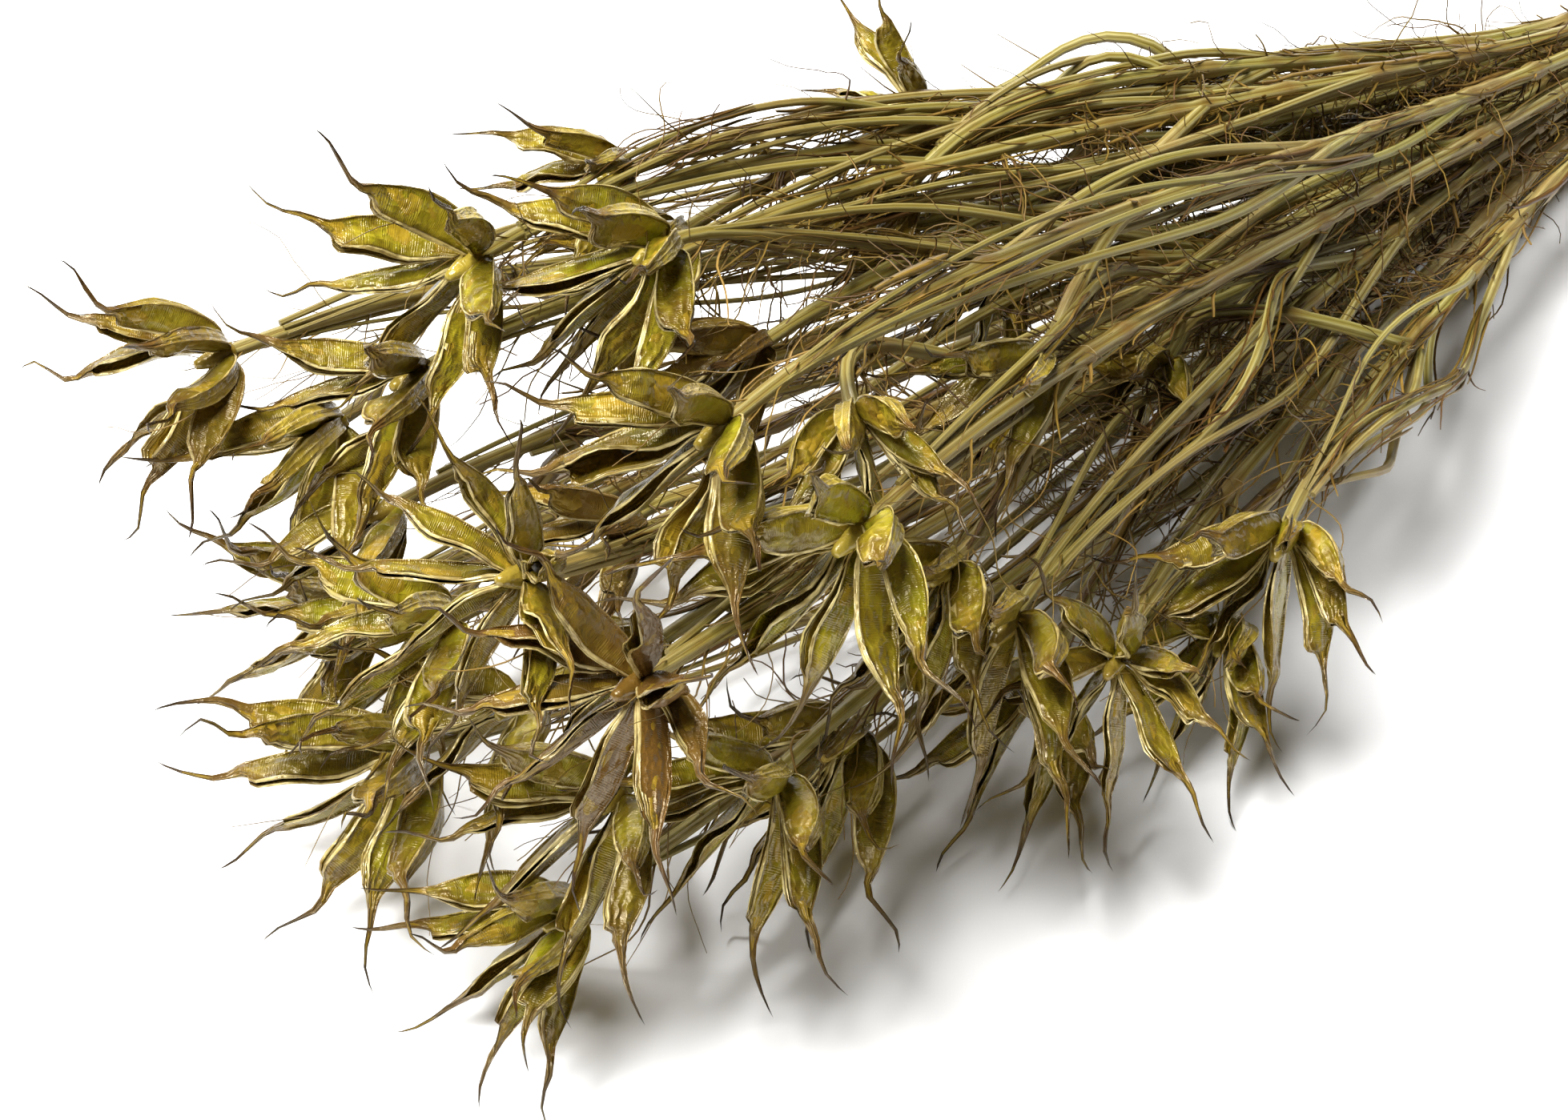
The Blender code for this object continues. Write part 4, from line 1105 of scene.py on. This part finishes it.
def makeHead(head, tree, podBlank, seedBlank):
    draw = random.Random(head.name + "/looks")
    headDry = headLooks["brownHeads"].get(head.name, draw.uniform(*headLooks["dryness"]))
    headLime = draw.uniform(*headLooks["limeness"])
    points = [point for pod in headPods[head.name] for point in podPoints(head, pod, headDry, headLime)]

    # the receptacle that the pods stand on
    axis = headAxis(head)
    across, level = axisFrame(axis)
    first, sides = len(points), headLooks["coreSides"]
    for height, radius in headLooks["coreLine"]:
        for side in range(sides if radius else 1):
            angle = math.tau * side / sides
            wide = radius * (1 + headLooks["coreWave"] * math.cos(head.pods * angle))
            out = across * math.cos(angle) + level * math.sin(angle)
            points.append({"co": inFrame(headFoot(head) + (axis * height + out * wide) * head.size),
                           "dryness": headDry, "limeness": headLime, "isCore": True,
                           **headLooks["coreShade"]})
    faces = []
    rings = len(headLooks["coreLine"]) - 2
    last = first + 1 + rings * sides
    for side in range(sides):
        following = (side + 1) % sides
        faces.append((first, first + 1 + side, first + 1 + following))
        faces.append((last, last - sides + following, last - sides + side))
        for ring in range(rings - 1):
            low, high = first + 1 + ring * sides, first + 1 + (ring + 1) * sides
            faces.append((low + side, high + side, high + following, low + following))

    plan = planFrom(head.name + "Plan", points, [], faces,
                    ("root", "along", "back", "beside", "bodyBow", "beakBend", "beakWave", "beakHook"),
                    ("podSize", "twist", "beakTwist", "gape", "deepening", "slimness", "sunken", "marginSway",
                     "pick", "dryness", "limeness", "podAlong", "podAcross"), ("isPod", "isSeed", "isCore"))
    piece = addObject("seeds_" + head.name, runTree(plan, tree, {"Pod": podBlank, "Seed grain": seedBlank}))
    discard(plan)
    keepOffFloor(piece.data)
    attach(piece, "root")
    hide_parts(head.name)
    return piece


podBlank, seedBlank, headTree = makePodBlank(), makeSeedBlank(), makeHeadTree()
headPieces = [makeHead(head, headTree, podBlank, seedBlank) for head in headPlans]
for blank in (podBlank, seedBlank):
    discard(blank)
print("seed heads made:", len(headPieces), "with",
      sum(len(piece.data.polygons) for piece in headPieces), "faces")


# Stems and thread leaves

stemForm = {
    "sides": 24, "shootSides": 12, "ribs": 6, "ribDepth": 0.08, "step": 4.0,
    "nodeSwell": 0.38, "nodeReach": 2.2, "uneven": ((0.035, 0.9), (0.03, 0.37)), "intoHead": 0.4,
    "tailEasing": 6, "lineEasing": 2, "routeSteps": 90, "branchSteps": 60,
    "leavesFrom": 12, "leavesTo": 0.88, "beforeTie": 50, "branchStep": 0.9, "branchLeaves": (8, 0.85),
}
shootForm = {
    "perStem": (4, 6), "start": (8.0, 150.0), "length": (130.0, 300.0), "reach": (4.0, 11.0),
    "back": (0.8, 1.0), "thick": (0.7, 1.35), "tip": 0.45, "clumps": (0, 2), "leaves": (0.15, 0.8),
    "foot": 0.4, "endGap": 9, "easing": 4,
    # far heads get long shoots that begin further out
    "farHead": 265.0, "farShare": 0.6, "farStart": (60.0, 170.0), "farLength": 300,
}
leafForm = {
    "sides": 3, "flatness": 0.55, "clumps": (6, 9), "branchClumps": (1, 2), "perClump": (3, 5), "step": 2.8,
    "length": (16.0, 60.0), "reach": (1.2, 3.4), "thick": (0.3, 0.52), "tip": 0.3,
    "foot": (0.35, 0.8), "near": 1.2, "ribbonShare": 0.1, "ribbonThick": (0.9, 1.4),
    "curled": 0.15, "curl": 0.17, "endCurlMore": 1.3, "firstTurn": 0.4, "gust": 0.5, "pull": 0.3,
    "hold": 0.82, "endGap": 6, "shortest": 10, "lowest": 0.8, "bounce": 0.3,
    "besideTie": 0.8, "roundTie": 1.0,
    "rootLength": 1.1, "shorterOut": 0.4, "packedThick": 1.25, "packedTip": 0.3,
    "side": {"length": (5.0, 14.0), "thick": (0.22, 0.36), "share": 0.2, "spread": (0.08, 0.4), "tip": 0.4,
             "tint": 0.2},
}
hugForm = {
    "swing": 2.4, "swingLength": 30, "wander": 0.35, "wanderLength": 160, "wanderTurns": 7,
    "drift": 0.3, "driftTurns": 5, "leaving": 1.2, "backAt": 0.85,
}
stubForm = {
    "perNode": (1, 3), "lean": (1.5, 3.2), "length": (3.0, 7.0), "thick": (0.4, 0.68), "tip": 0.5,
    "curl": 0.3, "hold": 0.6, "step": 1.2, "tint": (0.2, 0.8), "foot": 0.6,
}
bractForm = {
    "perHead": (9, 14), "before": (3.0, 34.0), "spread": (0.1, 0.75), "drop": (0.0, 0.3),
    "length": (14.0, 38.0), "thick": (0.17, 0.32), "tip": 0.35, "curl": 0.34, "hold": 0.7,
    "step": 2.2, "tint": (0.35, 0.9),
}
tuftForm = {
    "perStem": 12, "from": 22.0, "short": 26.0, "leaves": (7, 10), "length": (10.0, 30.0),
    "thick": (0.18, 0.32), "tip": 0.5, "ahead": (22.0, 70.0), "loose": 0.26, "curl": 0.6, "hold": 0.4,
    "step": 1.8, "tint": (0.66, 1.0),
}


def makeStemTree():
    tree, given = geometryTree("ribbed stem with leaves", {
        "Sides": ("Int", stemForm["sides"]), "Shoot sides": ("Int", stemForm["shootSides"]),
        "Ribs": ("Float", stemForm["ribs"]), "Rib depth": ("Float", stemForm["ribDepth"]),
        "Leaf sides": ("Int", leafForm["sides"]), "Leaf flatness": ("Float", leafForm["flatness"])})
    leaves = addNode(tree, "GeometryNodeSeparateGeometry", {
        "Geometry": given["Geometry"], "Selection": named(tree, "isLeaf", "BOOLEAN")}).outputs
    shoots = addNode(tree, "GeometryNodeSeparateGeometry", {
        "Geometry": leaves["Inverted"], "Selection": named(tree, "isShoot", "BOOLEAN")}).outputs
    made = []
    for paths, sides, ribbed, skin in ((shoots["Inverted"], given["Sides"], True, stemSkin),
                                       (shoots["Selection"], given["Shoot sides"], True, stemSkin),
                                       (leaves["Selection"], given["Leaf sides"], False, threadSkin)):
        paths = addNode(tree, "GeometryNodeMeshToCurve", {"Mesh": paths}).outputs[0]
        ring = addNode(tree, "GeometryNodeCurvePrimitiveCircle", {"Resolution": sides, "Radius": 1.0},
                       mode="RADIUS").outputs[0]
        place = addNode(tree, "GeometryNodeInputPosition").outputs[0]
        for title, kind, value in (("turned", "FLOAT_VECTOR", place), ("ribs", "FLOAT", given["Ribs"])):
            ring = addNode(tree, "GeometryNodeStoreNamedAttribute", {
                "Geometry": ring, "Name": title, "Value": value}, data_type=kind, domain="POINT").outputs[0]
        if ribbed:
            parts = separated(tree, place)
            angle = calc(tree, "ARCTAN2", parts["Y"], parts["X"])
            groove = calc(tree, "COSINE", times(tree, angle, given["Ribs"]))
            groove = plus(tree, times(tree, groove, 0.5), 0.5)
            shaped = vecTimes(tree, place, minus(tree, 1.0, times(tree, groove, given["Rib depth"])))
        else:
            flat = combined(tree, 1.0, given["Leaf flatness"], 1.0)
            shaped = addNode(tree, "ShaderNodeVectorMath", {0: place, 1: flat},
                             operation="MULTIPLY").outputs[0]
        ring = addNode(tree, "GeometryNodeSetPosition", {"Geometry": ring, "Position": shaped}).outputs[0]
        tube = addNode(tree, "GeometryNodeCurveToMesh", {
            "Curve": paths, "Profile Curve": ring, "Scale": named(tree, "thick"),
            "Fill Caps": True}).outputs[0]
        made.append(dressed(tree, tube, skin))
    addNode(tree, "NodeGroupOutput", {0: joined(tree, made[::-1])})
    return tree


def lineArcs(points):
    arcs = [0.0]
    for before, after in zip(points, points[1:]):
        arcs.append(arcs[-1] + (after - before).length)
    return arcs


def lineAt(points, arcs, arc):
    # the place and the direction at a length along a line
    index = min(max(bisect.bisect_right(arcs, arc) - 1, 0), len(points) - 2)
    share = clamped(0.0, (arc - arcs[index]) / max(verySmall, arcs[index + 1] - arcs[index]), 1.0)
    return points[index].lerp(points[index + 1], share), (points[index + 1] - points[index]).normalized()


def evenPoints(points, step):
    # the same line with points about a step apart
    arcs = lineArcs(points)
    count = max(3, round(arcs[-1] / step))
    even, index = [], 0
    for number in range(count + 1):
        wanted = arcs[-1] * number / count
        while index < len(points) - 2 and arcs[index + 1] < wanted:
            index += 1
        share = (wanted - arcs[index]) / max(verySmall, arcs[index + 1] - arcs[index])
        even.append(points[index].lerp(points[index + 1], clamped(0.0, share, 1.0)))
    return even


def eased(points, rounds):
    for turn in range(rounds):
        points = [points[0]] + [(before + point * 2 + after) / 4 for before, point, after
                                in zip(points, points[1:], points[2:])] + [points[-1]]
    return points


def thinning(first, last, count):
    return [first + (last - first) * number / (count - 1) for number in range(count)]


def headEnd(head):
    # the last places of a line, up to just inside its head
    return [headSeat(head), headFoot(head) + headAxis(head) * stemForm["intoHead"]]


def stemLine(stem, head):
    # from the cut end through the tie to just inside the head
    start = stemRoutes[stem][0]
    tieEnd = Vector((packed["tieWidth"], start.y, start.z))
    tail = eased(evenPoints([cutPoint(stem), tieEnd, start], stemForm["step"]), stemForm["tailEasing"])
    out = bezierPoints(stemRoutes[stem], stemForm["routeSteps"]) + headEnd(head)
    return eased(tail[:-1] + evenPoints(out, stemForm["step"]), stemForm["lineEasing"])


def branchLine(stem, head):
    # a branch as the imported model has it, with its foot moved onto the smooth stem
    steps = packed["stemSteps"]
    start, startHandle, endHandle, end = branchRoutes[head.name]
    moved = bezierPoint(stemRoutes[stem], min(1.0, head.fork * (steps + 1) / steps)) - start
    fine = bezierPoints((start + moved, startHandle + moved, endHandle, end), stemForm["branchSteps"])
    return start + moved, evenPoints(fine + headEnd(head), stemForm["step"] * stemForm["branchStep"])


def threadLine(draw, start, forward, length, bendy, pull, hold=leafForm["hold"], stride=leafForm["step"]):
    # a thread that wanders as it dries and stays off the surface below
    def gust():
        return Vector((draw.gauss(0, 1), draw.gauss(0, 1), draw.gauss(0, 1)))

    points, heading = [start], forward.normalized()
    turn = gust() * bendy * leafForm["firstTurn"]
    for step in range(max(2, round(length / stride))):
        turn = turn * hold + gust() * bendy * leafForm["gust"]
        heading = (heading + turn + pull * leafForm["pull"]).normalized()
        point = points[-1] + heading * stride
        if point.z < leafForm["lowest"]:
            point.z = leafForm["lowest"]
            heading.z = abs(heading.z) * leafForm["bounce"]
        points.append(point)
    return points


def hugLine(draw, points, arcs, arc, length, near, reach, back=0.0):
    # a line that follows a stem, drifts round it, leaves it little by little and may come back to it
    made = []
    turn, wobble = draw.uniform(0, math.tau), draw.uniform(0, math.tau)
    swing = draw.uniform(-1, 1) * min(hugForm["swing"], length / hugForm["swingLength"])
    wander = min(hugForm["wander"], length / hugForm["wanderLength"])
    steps = max(3, round(length / leafForm["step"]))
    for step in range(steps + 1):
        share = step / steps
        point, along = lineAt(points, arcs, arc + length * share)
        side, square = axisFrame(along)
        angle = turn + swing * share + wander * math.sin(wobble + hugForm["wanderTurns"] * share)
        rise = share ** hugForm["leaving"] * (1 - back)
        rise += math.sin(math.pi * share ** hugForm["backAt"]) ** hugForm["leaving"] * back
        drift = 1 + hugForm["drift"] * math.sin(wobble * 2 + hugForm["driftTurns"] * share)
        away = near + (reach - near) * rise * drift
        place = point + (side * math.cos(angle) + square * math.sin(angle)) * away
        place.z = max(place.z, leafForm["lowest"])
        made.append(place)
    return made


def hasRoom(points):
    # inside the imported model's box and clear of the tie
    low, high = cadBox
    inBox = all(low.x < place.x < high.x and low.y < place.y < high.y and place.z < high.z
                for place in (inFrame(point) for point in points))
    beside, wide = packed["tieWidth"] * 0.5 + leafForm["besideTie"], tieRadius + leafForm["roundTie"]
    return inBox and all(abs(point.x) > beside or math.hypot(point.y, point.z - tieHeight) > wide
                         for point in points)


def keepPath(paths, points, radii, tint, **more):
    paths.append({"points": points, "radii": radii, "tint": tint, "isLeaf": True, **more})


def keepThread(draw, thread, form, paths):
    if hasRoom(thread):
        thick = draw.uniform(*form["thick"])
        thicks = thinning(thick, thick * form["tip"], len(thread))
        keepPath(paths, thread, thicks, draw.uniform(*form["tint"]))


def growLeaf(draw, points, arcs, arc, length, paths):
    # one dried leaf: a main thread that lies along the stem and curls at its end, and side threads
    length = min(length, arcs[-1] - arc - leafForm["endGap"])
    if length < leafForm["shortest"]:
        return
    straight = 1 - leafForm["curled"]
    reach = draw.uniform(*leafForm["reach"])
    main = hugLine(draw, points, arcs, arc, length * straight, leafForm["near"], reach)
    heading = (main[-1] - main[-2]).normalized()
    main += threadLine(draw, main[-1], heading, length * leafForm["curled"],
                       leafForm["curl"] * leafForm["endCurlMore"], heading)[1:]
    if not hasRoom(main):
        return
    ribbon = draw.random() < leafForm["ribbonShare"]
    thick = draw.uniform(*leafForm["ribbonThick" if ribbon else "thick"])
    tint = draw.random()
    radii = thinning(thick, thick * leafForm["tip"], len(main))
    radii[:2] = [thick * share for share in leafForm["foot"]]
    keepPath(paths, main, radii, tint)
    side = leafForm["side"]
    for index in range(2, len(main) - 1, 2):
        if draw.random() > side["share"]:
            continue
        direction = (main[index + 1] - main[index]).normalized()
        out = direction.cross(anyWay(draw)).normalized()
        branch = threadLine(draw, main[index], direction + out * draw.uniform(*side["spread"]),
                            draw.uniform(*side["length"]), leafForm["curl"], direction)
        if hasRoom(branch):
            thin = min(thick, draw.uniform(*side["thick"]))
            ownTint = clamped(0.0, tint + draw.uniform(-side["tint"], side["tint"]), 1.0)
            keepPath(paths, branch, thinning(thin, thin * side["tip"], len(branch)), ownTint)


def growClumps(draw, points, low, high, count, paths, nodes):
    # leaves in clumps, spread over a part of a line
    arcs = lineArcs(points)
    for clump in range(count):
        arc = low + (high - low) * (clump + draw.random()) / count
        nodes.append(lineAt(points, arcs, arc)[0])
        for leaf in range(draw.randint(*leafForm["perClump"])):
            shorter = leafForm["rootLength"] - leafForm["shorterOut"] * arc / arcs[-1]
            length = draw.uniform(*leafForm["length"]) * shorter
            growLeaf(draw, points, arcs, arc, length, paths)


def growTufts(draw, stem, low, high, paths):
    # crinkled brown leaves that have dried in the gaps between one stem and another
    form, points, arcs = tuftForm, stemLines[stem], lineArcs(stemLines[stem])
    for tuft in range(form["perStem"]):
        start = lineAt(points, arcs, low + (high - low) * (tuft + draw.random()) / form["perStem"])[0]
        other = stemLines[draw.choice(stemNumbers)]
        ahead = start.x - draw.uniform(*form["ahead"])
        towards = (min(other, key=lambda point: abs(point.x - ahead)) - start).normalized()
        for leaf in range(draw.randint(*form["leaves"])):
            heading = towards + anyWay(draw) * form["loose"]
            length = draw.uniform(*form["length"])
            thread = threadLine(draw, start, heading, length, form["curl"], towards,
                                form["hold"], form["step"])
            keepThread(draw, thread, form, paths)


def growBracts(draw, points, head, paths):
    # dried thread-like bracts that stand round the foot of a head
    form, arcs, axis = bractForm, lineArcs(points), headAxis(head)
    for bract in range(draw.randint(*form["perHead"])):
        start = lineAt(points, arcs, arcs[-1] - draw.uniform(*form["before"]))[0]
        out = axis.cross(anyWay(draw)).normalized()
        heading = axis + out * draw.uniform(*form["spread"]) - Vector((0, 0, draw.uniform(*form["drop"])))
        keepThread(draw, threadLine(draw, start, heading, draw.uniform(*form["length"]), form["curl"], axis,
                                    form["hold"], form["step"]), form, paths)


def growStubs(line, nodes, key, paths):
    # what is left of broken leaf stalks round each node
    draw, form = random.Random(key), stubForm
    for node in nodes:
        index = min(range(1, len(line) - 1), key=lambda number: (line[number] - node).length)
        along = (line[index + 1] - line[index]).normalized()
        for stub in range(draw.randint(*form["perNode"])):
            out = along.cross(anyWay(draw)).normalized()
            heading = (along * draw.uniform(*form["lean"]) + out).normalized()
            start = node + out * packed["stemRadius"] * form["foot"]
            length = draw.uniform(*form["length"])
            thread = threadLine(draw, start, heading, length, form["curl"], heading,
                                form["hold"], form["step"])
            keepThread(draw, thread, form, paths)


def growShoots(draw, stem, tieArc, paths, nodes):
    # thinner stems that leave the main one and run along it
    form, line = shootForm, stemLines[stem]
    arcs = lineArcs(line)
    for shoot in range(draw.randint(*form["perStem"])):
        far = ownHeads[stem][0].out > form["farHead"] and draw.random() < form["farShare"]
        start = tieArc + draw.uniform(*form["farStart" if far else "start"])
        length = form["farLength"] if far else draw.uniform(*form["length"])
        length = min(length, arcs[-1] - start - form["endGap"])
        reach = draw.uniform(*form["reach"])
        shootLine = hugLine(draw, line, arcs, start, length, form["foot"], reach, draw.uniform(*form["back"]))
        shootLine = evenPoints(eased(shootLine, form["easing"]), stemForm["step"])
        if hasRoom(shootLine):
            thick = draw.uniform(*form["thick"])
            radii = thinning(thick, thick * form["tip"], len(shootLine))
            keepPath(paths, shootLine, radii, draw.random(), isLeaf=False, isShoot=True)
            low, high = (length * share for share in form["leaves"])
            growClumps(draw, shootLine, low, high, draw.randint(*form["clumps"]), paths, [])
            nodes.append(shootLine[0])


def keepStem(paths, line, ends, nodes, key, tint):
    # a stem or a branch, thicker and darker at its nodes
    draw = random.Random(key)
    phase, radii, shades = draw.uniform(0, 6), [], []
    (much, quick), (little, slow) = stemForm["uneven"]
    for index, (point, radius) in enumerate(zip(line, thinning(*ends, len(line)))):
        near = max([math.exp(-((point - node).length / stemForm["nodeReach"]) ** 2) for node in nodes],
                   default=0.0)
        uneven = 1 + much * math.sin(index * quick + phase) + little * math.sin(index * slow + phase * 2)
        radii.append(radius * uneven * (1 + stemForm["nodeSwell"] * near))
        shades.append(near)
    keepPath(paths, line, radii, tint, isLeaf=False, shades=shades)


def stemPaths(stem):
    # every line that a stem's piece is made of
    draw = random.Random(f"stem/{stem}/looks")
    own, line = ownHeads[stem], stemLines[stem]
    arcs = lineArcs(line)
    tieArc = min(arc for arc, point in zip(arcs, line) if point.x < 0)
    nodes, paths = [], []
    tint = draw.uniform(0.0, 1.0)
    leavesFrom = stemForm["leavesFrom"]
    growClumps(draw, line, tieArc + leavesFrom, arcs[-1] * stemForm["leavesTo"],
               draw.randint(*leafForm["clumps"]), paths, nodes)
    growClumps(draw, line, leavesFrom, tieArc - stemForm["beforeTie"], 1, paths, nodes)
    growBracts(draw, line, own[0], paths)
    growTufts(draw, stem, tieArc + tuftForm["from"], arcs[-1] - tuftForm["short"], paths)
    growShoots(draw, stem, tieArc, paths, nodes)
    for head in own[1:]:
        fork, branch = branchLine(stem, head)
        nodes.append(fork)
        branchNodes = []
        growBracts(draw, branch, head, paths)
        low, high = stemForm["branchLeaves"]
        growClumps(draw, branch, low, lineArcs(branch)[-1] * high,
                   draw.randint(*leafForm["branchClumps"]), paths, branchNodes)
        ends = packed["branchRadius"], packed["neckRadius"]
        keepStem(paths, branch, ends, branchNodes + [branch[0]], head.name, tint)
    for leaf in foundLeaves[stem]:
        fine = evenPoints(leaf[:4], leafForm["step"])
        radii = thinning(packed["leafRadius"] * leafForm["packedThick"],
                         packed["leafRadius"] * leafForm["packedTip"], len(fine))
        keepPath(paths, fine, radii, draw.random())
    growStubs(line, nodes, f"stubs/{stem}", paths)
    keepStem(paths, line, (packed["stemRadius"], packed["neckRadius"]), nodes, f"line/{stem}", tint)
    return paths


def makeStem(stem, tree):
    points, edges = [], []
    for path in stemPaths(stem):
        line = path["points"]
        shades = path.get("shades", [0.0] * len(line))
        for index, (point, radius, arc) in enumerate(zip(line, path["radii"], lineArcs(line))):
            if index:
                edges.append((len(points) - 1, len(points)))
            points.append({"co": inFrame(point), "thick": radius * mm, "pathAlong": arc * mm,
                           "tint": path["tint"], "nodeShade": shades[index], "isLeaf": path["isLeaf"],
                           "isShoot": path.get("isShoot", False)})
    plan = planFrom(f"stem{stem}Plan", points, edges, [], (), ("thick", "pathAlong", "tint", "nodeShade"),
                    ("isLeaf", "isShoot"))
    values = {"Sides": stemForm["sides"], "Shoot sides": stemForm["shootSides"],
              "Ribs": float(stemForm["ribs"]), "Rib depth": stemForm["ribDepth"],
              "Leaf sides": leafForm["sides"], "Leaf flatness": leafForm["flatness"]}
    piece = addObject(f"leafy_stem_{stem:02d}", runTree(plan, tree, values))
    discard(plan)
    keepOffFloor(piece.data)
    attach(piece, "root")
    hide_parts(f"stem_{stem:02d}")
    return piece


stemLines = {stem: stemLine(stem, own[0]) for stem, own in ownHeads.items()}
stemTree = makeStemTree()
stemPieces = [makeStem(stem, stemTree) for stem in stemNumbers]
print("stems made:", len(stemPieces), "with", sum(len(piece.data.polygons) for piece in stemPieces), "faces")


# Elastic tie

tieForm = {
    "turns": 3, "sides": 96, "section": 12, "thickness": 1.45, "width": 2.9,
    "meander": 0.12, "meanderTurns": 3, "turnShift": 2.1, "roundThick": 0.7, "roundWide": 0.6,
    "flatShare": 0.999,
}


def roundedPart(value, power):
    return math.copysign(abs(value) ** power, value)


def makeTie():
    shape = bmesh.new()
    pitch = packed["tieWidth"] / tieForm["turns"]
    middleRadius = bundleRadius + tieForm["thickness"] / 2
    lowest = tieHeight - (tieRadius - middleRadius)
    for turn in range(tieForm["turns"]):
        rows = []
        for side in range(tieForm["sides"]):
            angle = math.tau * side / tieForm["sides"]
            waved = tieForm["meanderTurns"] * angle + turn * tieForm["turnShift"]
            shift = tieForm["meander"] * math.sin(waved)
            middle = pitch * (turn - (tieForm["turns"] - 1) / 2) + shift
            row = []
            for corner in range(tieForm["section"]):
                bearing = math.tau * corner / tieForm["section"]
                thick = tieForm["thickness"] / 2 * roundedPart(math.cos(bearing), tieForm["roundThick"])
                wide = tieForm["width"] / 2 * roundedPart(math.sin(bearing), tieForm["roundWide"])
                radius = middleRadius + thick
                up = max(radius * math.sin(angle), -lowest - thick * tieForm["flatShare"])
                place = Vector((middle + wide, radius * math.cos(angle), tieHeight + up))
                row.append(shape.verts.new(inFrame(place)))
            rows.append(row)
        for row, other in zip(rows, rows[1:] + rows[:1]):
            for corner in range(tieForm["section"]):
                following = (corner + 1) % tieForm["section"]
                shape.faces.new((row[corner], row[following], other[following], other[corner]))
    bmesh.ops.recalc_face_normals(shape, faces=shape.faces)
    for face in shape.faces:
        face.smooth = True
    mesh = meshOf("elastic_tie", shape)
    mesh.materials.append(bandRubber)
    keepOffFloor(mesh, 0.0)
    piece = addObject("elastic_tie", mesh)
    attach(piece, "root")
    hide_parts("tie")


makeTie()
print("tie made")


# Floor, light and camera

studio = {
    "floorColour": paint(0.97, 0.97, 0.97), "floorSize": 6.0, "floorDrop": -0.00005, "fill": 0.05,
    # each lamp: power, width, then towards it: right, away and up as the picture shows it, and how far
    "lamps": {"key": (44.0, 0.8, -0.32, -0.13, 1.0, 1.3), "rim": (16.0, 0.16, -0.5, 0.8, 1.0, 1.3)},
    "azimuth": -46.0, "elevation": 45.0, "distance": 0.62, "lens": 90.0, "sensor": 36.0,
    "target": Vector((-245.8, -2.2, 40.0)),
}


def makeFloor():
    shape = bmesh.new()
    bmesh.ops.create_grid(shape, x_segments=2, y_segments=2, size=studio["floorSize"])
    floor = addObject("floor", meshOf("floor", shape))
    floor.location.z = studio["floorDrop"]
    material, tree, shader = newMaterial("white floor", **{
        "Base Color": studio["floorColour"], "Roughness": 0.9, "Specular IOR Level": 0.1})
    floor.data.materials.append(material)


def makeLights():
    world = bpy.data.worlds.new("studio")
    bpy.context.scene.world = world
    world.use_nodes = True
    background = world.node_tree.nodes["Background"]
    background.inputs["Color"].default_value = (1, 1, 1, 1)
    background.inputs["Strength"].default_value = studio["fill"]
    turn = math.radians(studio["azimuth"])
    pictureRight = Vector((math.cos(turn), math.sin(turn), 0))
    away = Vector((-math.sin(turn), math.cos(turn), 0))
    for name, (power, width, right, far, up, distance) in studio["lamps"].items():
        toLight = (pictureRight * right + away * far + Vector((0, 0, up))).normalized()
        light = bpy.data.lights.new(name, "AREA")
        light.shape = "DISK"
        light.size = width
        light.energy = power
        lamp = addObject(name, light)
        lamp.location = inFrame(studio["target"]) + toLight * distance
        lamp.rotation_euler = toLight.to_track_quat("Z", "Y").to_euler()


def makeCamera():
    turn, tilt = math.radians(studio["azimuth"]), math.radians(studio["elevation"])
    back = Vector((math.sin(turn) * math.cos(tilt), -math.cos(turn) * math.cos(tilt), math.sin(tilt)))
    lens = bpy.data.cameras.new("camera")
    lens.lens = studio["lens"]
    lens.sensor_width = studio["sensor"]
    lens.clip_start = 0.01
    camera = addObject("camera", lens)
    camera.location = inFrame(studio["target"]) + back * studio["distance"]
    camera.rotation_euler = back.to_track_quat("Z", "Y").to_euler()
    bpy.context.scene.camera = camera


makeFloor()
makeLights()
makeCamera()
bpy.context.scene.view_settings.view_transform = "Standard"
print("floor, light and camera set")
